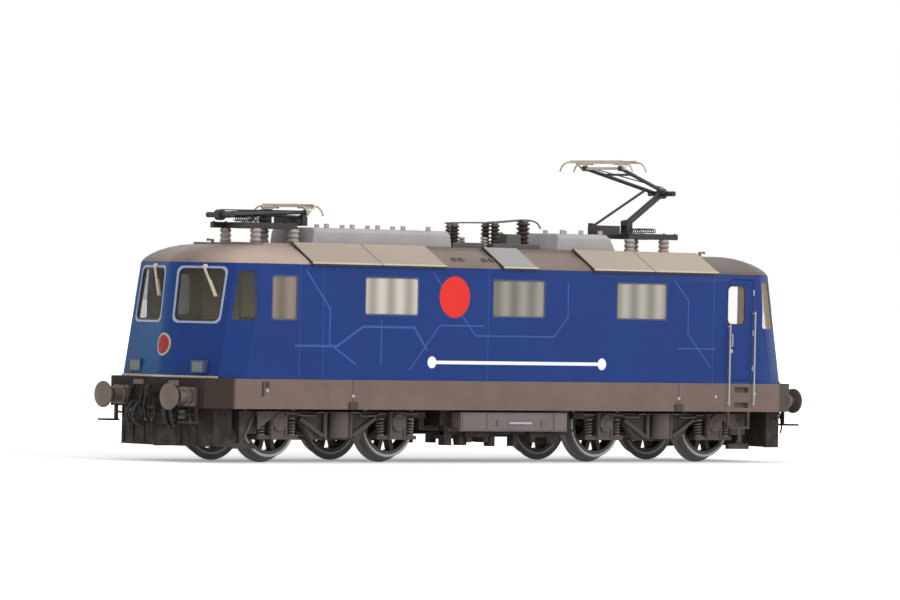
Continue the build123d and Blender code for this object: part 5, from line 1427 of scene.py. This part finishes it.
# Stage: a pale floor under the wheels that runs out to white, white all round, soft light. The floor's
# half width and height are in mm, and the distances where it turns white are in m.
FLOOR = {"half": 30000.0, "z": -0.02, "near": 0.10, "far": 0.45, "glow": (0.72, 0.28),
         "tones": ((0.90, 0.90, 0.90), (0.92, 0.92, 0.92))}
corners = np.array([[-1, -1, 0], [1, -1, 0], [1, 1, 0], [-1, 1, 0]], float)
sheet = np.stack([corners * 0.0, corners * FLOOR["half"]]) + (0, 0, FLOOR["z"])
floor = surface_object("floor", [(sheet, False)])
pale = Finish("pale_floor")
rays = pale.add("ShaderNodeLightPath").outputs
seen = pale.either(*(rays[kind] for kind in SEEN_BY))
away = pale.add("ShaderNodeVectorMath", {0: pale.place}, operation="LENGTH").outputs["Value"]
glow = pale.sum("MULTIPLY_ADD", pale.between(away, FLOOR["near"], FLOOR["far"]), *FLOOR["glow"])
pale.set(Base_Color=pale.tint(pale.noise(3), *FLOOR["tones"]), Roughness=0.9, Specular_IOR_Level=0.0)
pale.set(Emission_Color=(1, 1, 1, 1), Emission_Strength=pale.both(seen, glow))
floor.data.materials.append(pale.material)

# Strength of the white surroundings: as light on the model, and as seen
STUDIO = {"light": 0.62, "seen": 1.0}
world = bpy.data.worlds.new("studio")
bpy.context.scene.world = world
world.use_nodes = True
tree = world.node_tree
back = tree.nodes["Background"]
rays = tree.nodes.new("ShaderNodeLightPath").outputs
seen = rays[SEEN_BY[0]]
for kind in SEEN_BY[1:]:
    larger = tree.nodes.new("ShaderNodeMath")
    larger.operation = "MAXIMUM"
    tree.links.new(seen, larger.inputs[0])
    tree.links.new(rays[kind], larger.inputs[1])
    seen = larger.outputs[0]
level = tree.nodes.new("ShaderNodeMapRange")
level.inputs["To Min"].default_value = STUDIO["light"]
level.inputs["To Max"].default_value = STUDIO["seen"]
tree.links.new(seen, level.inputs["Value"])
tree.links.new(level.outputs[0], back.inputs["Strength"])
back.inputs["Color"].default_value = (1, 1, 1, 1)

# Soft lights: place in mm, size in mm, watts; all aim at the middle of the model
LIGHTS = [
    {"name": "key", "place": (300, -1200, 750), "size": 700, "watts": 8.0},
    {"name": "left", "place": (-1100, -500, 500), "size": 700, "watts": 2.5},
    {"name": "top", "place": (0, -100, 1300), "size": 900, "watts": 3.0},
]
AIM = Vector((0, 0, 25)) * MM
for row in LIGHTS:
    lamp = bpy.data.lights.new(row["name"], "AREA")
    lamp.size = row["size"] * MM
    lamp.energy = row["watts"]
    made = bpy.data.objects.new(row["name"], lamp)
    made.location = Vector(row["place"]) * MM
    made.rotation_euler = (AIM - made.location).to_track_quat("-Z", "Y").to_euler()
    bpy.context.scene.collection.objects.link(made)

# Camera at the photograph's angle, level, slightly rolled: place and lens in mm, roll in degrees
VIEW = {"place": (-1001.7, -1073.4, 33.2), "ahead": (0.6810, 0.7323, 0.0), "roll": 1.15, "lens": 284.0,
        "sensor": 36.0, "clip_end_m": 100.0}
view = bpy.data.cameras.new("photo_view")
view.sensor_width = VIEW["sensor"]
view.lens = VIEW["lens"]
view.clip_end = VIEW["clip_end_m"]
camera = bpy.data.objects.new("photo_view", view)
ahead = Vector(VIEW["ahead"]).normalized()
right = Vector((ahead.y, -ahead.x, 0.0))
roll = radians(VIEW["roll"])
across = right * np.cos(roll) + Vector(UP) * np.sin(roll)
upward = across.cross(ahead)
turn = Matrix((across, upward, -ahead)).transposed()
camera.matrix_world = Matrix.Translation(Vector(VIEW["place"]) * MM) @ turn.to_4x4()
bpy.context.scene.collection.objects.link(camera)
bpy.context.scene.camera = camera
bpy.context.scene.view_settings.view_transform = "Standard"
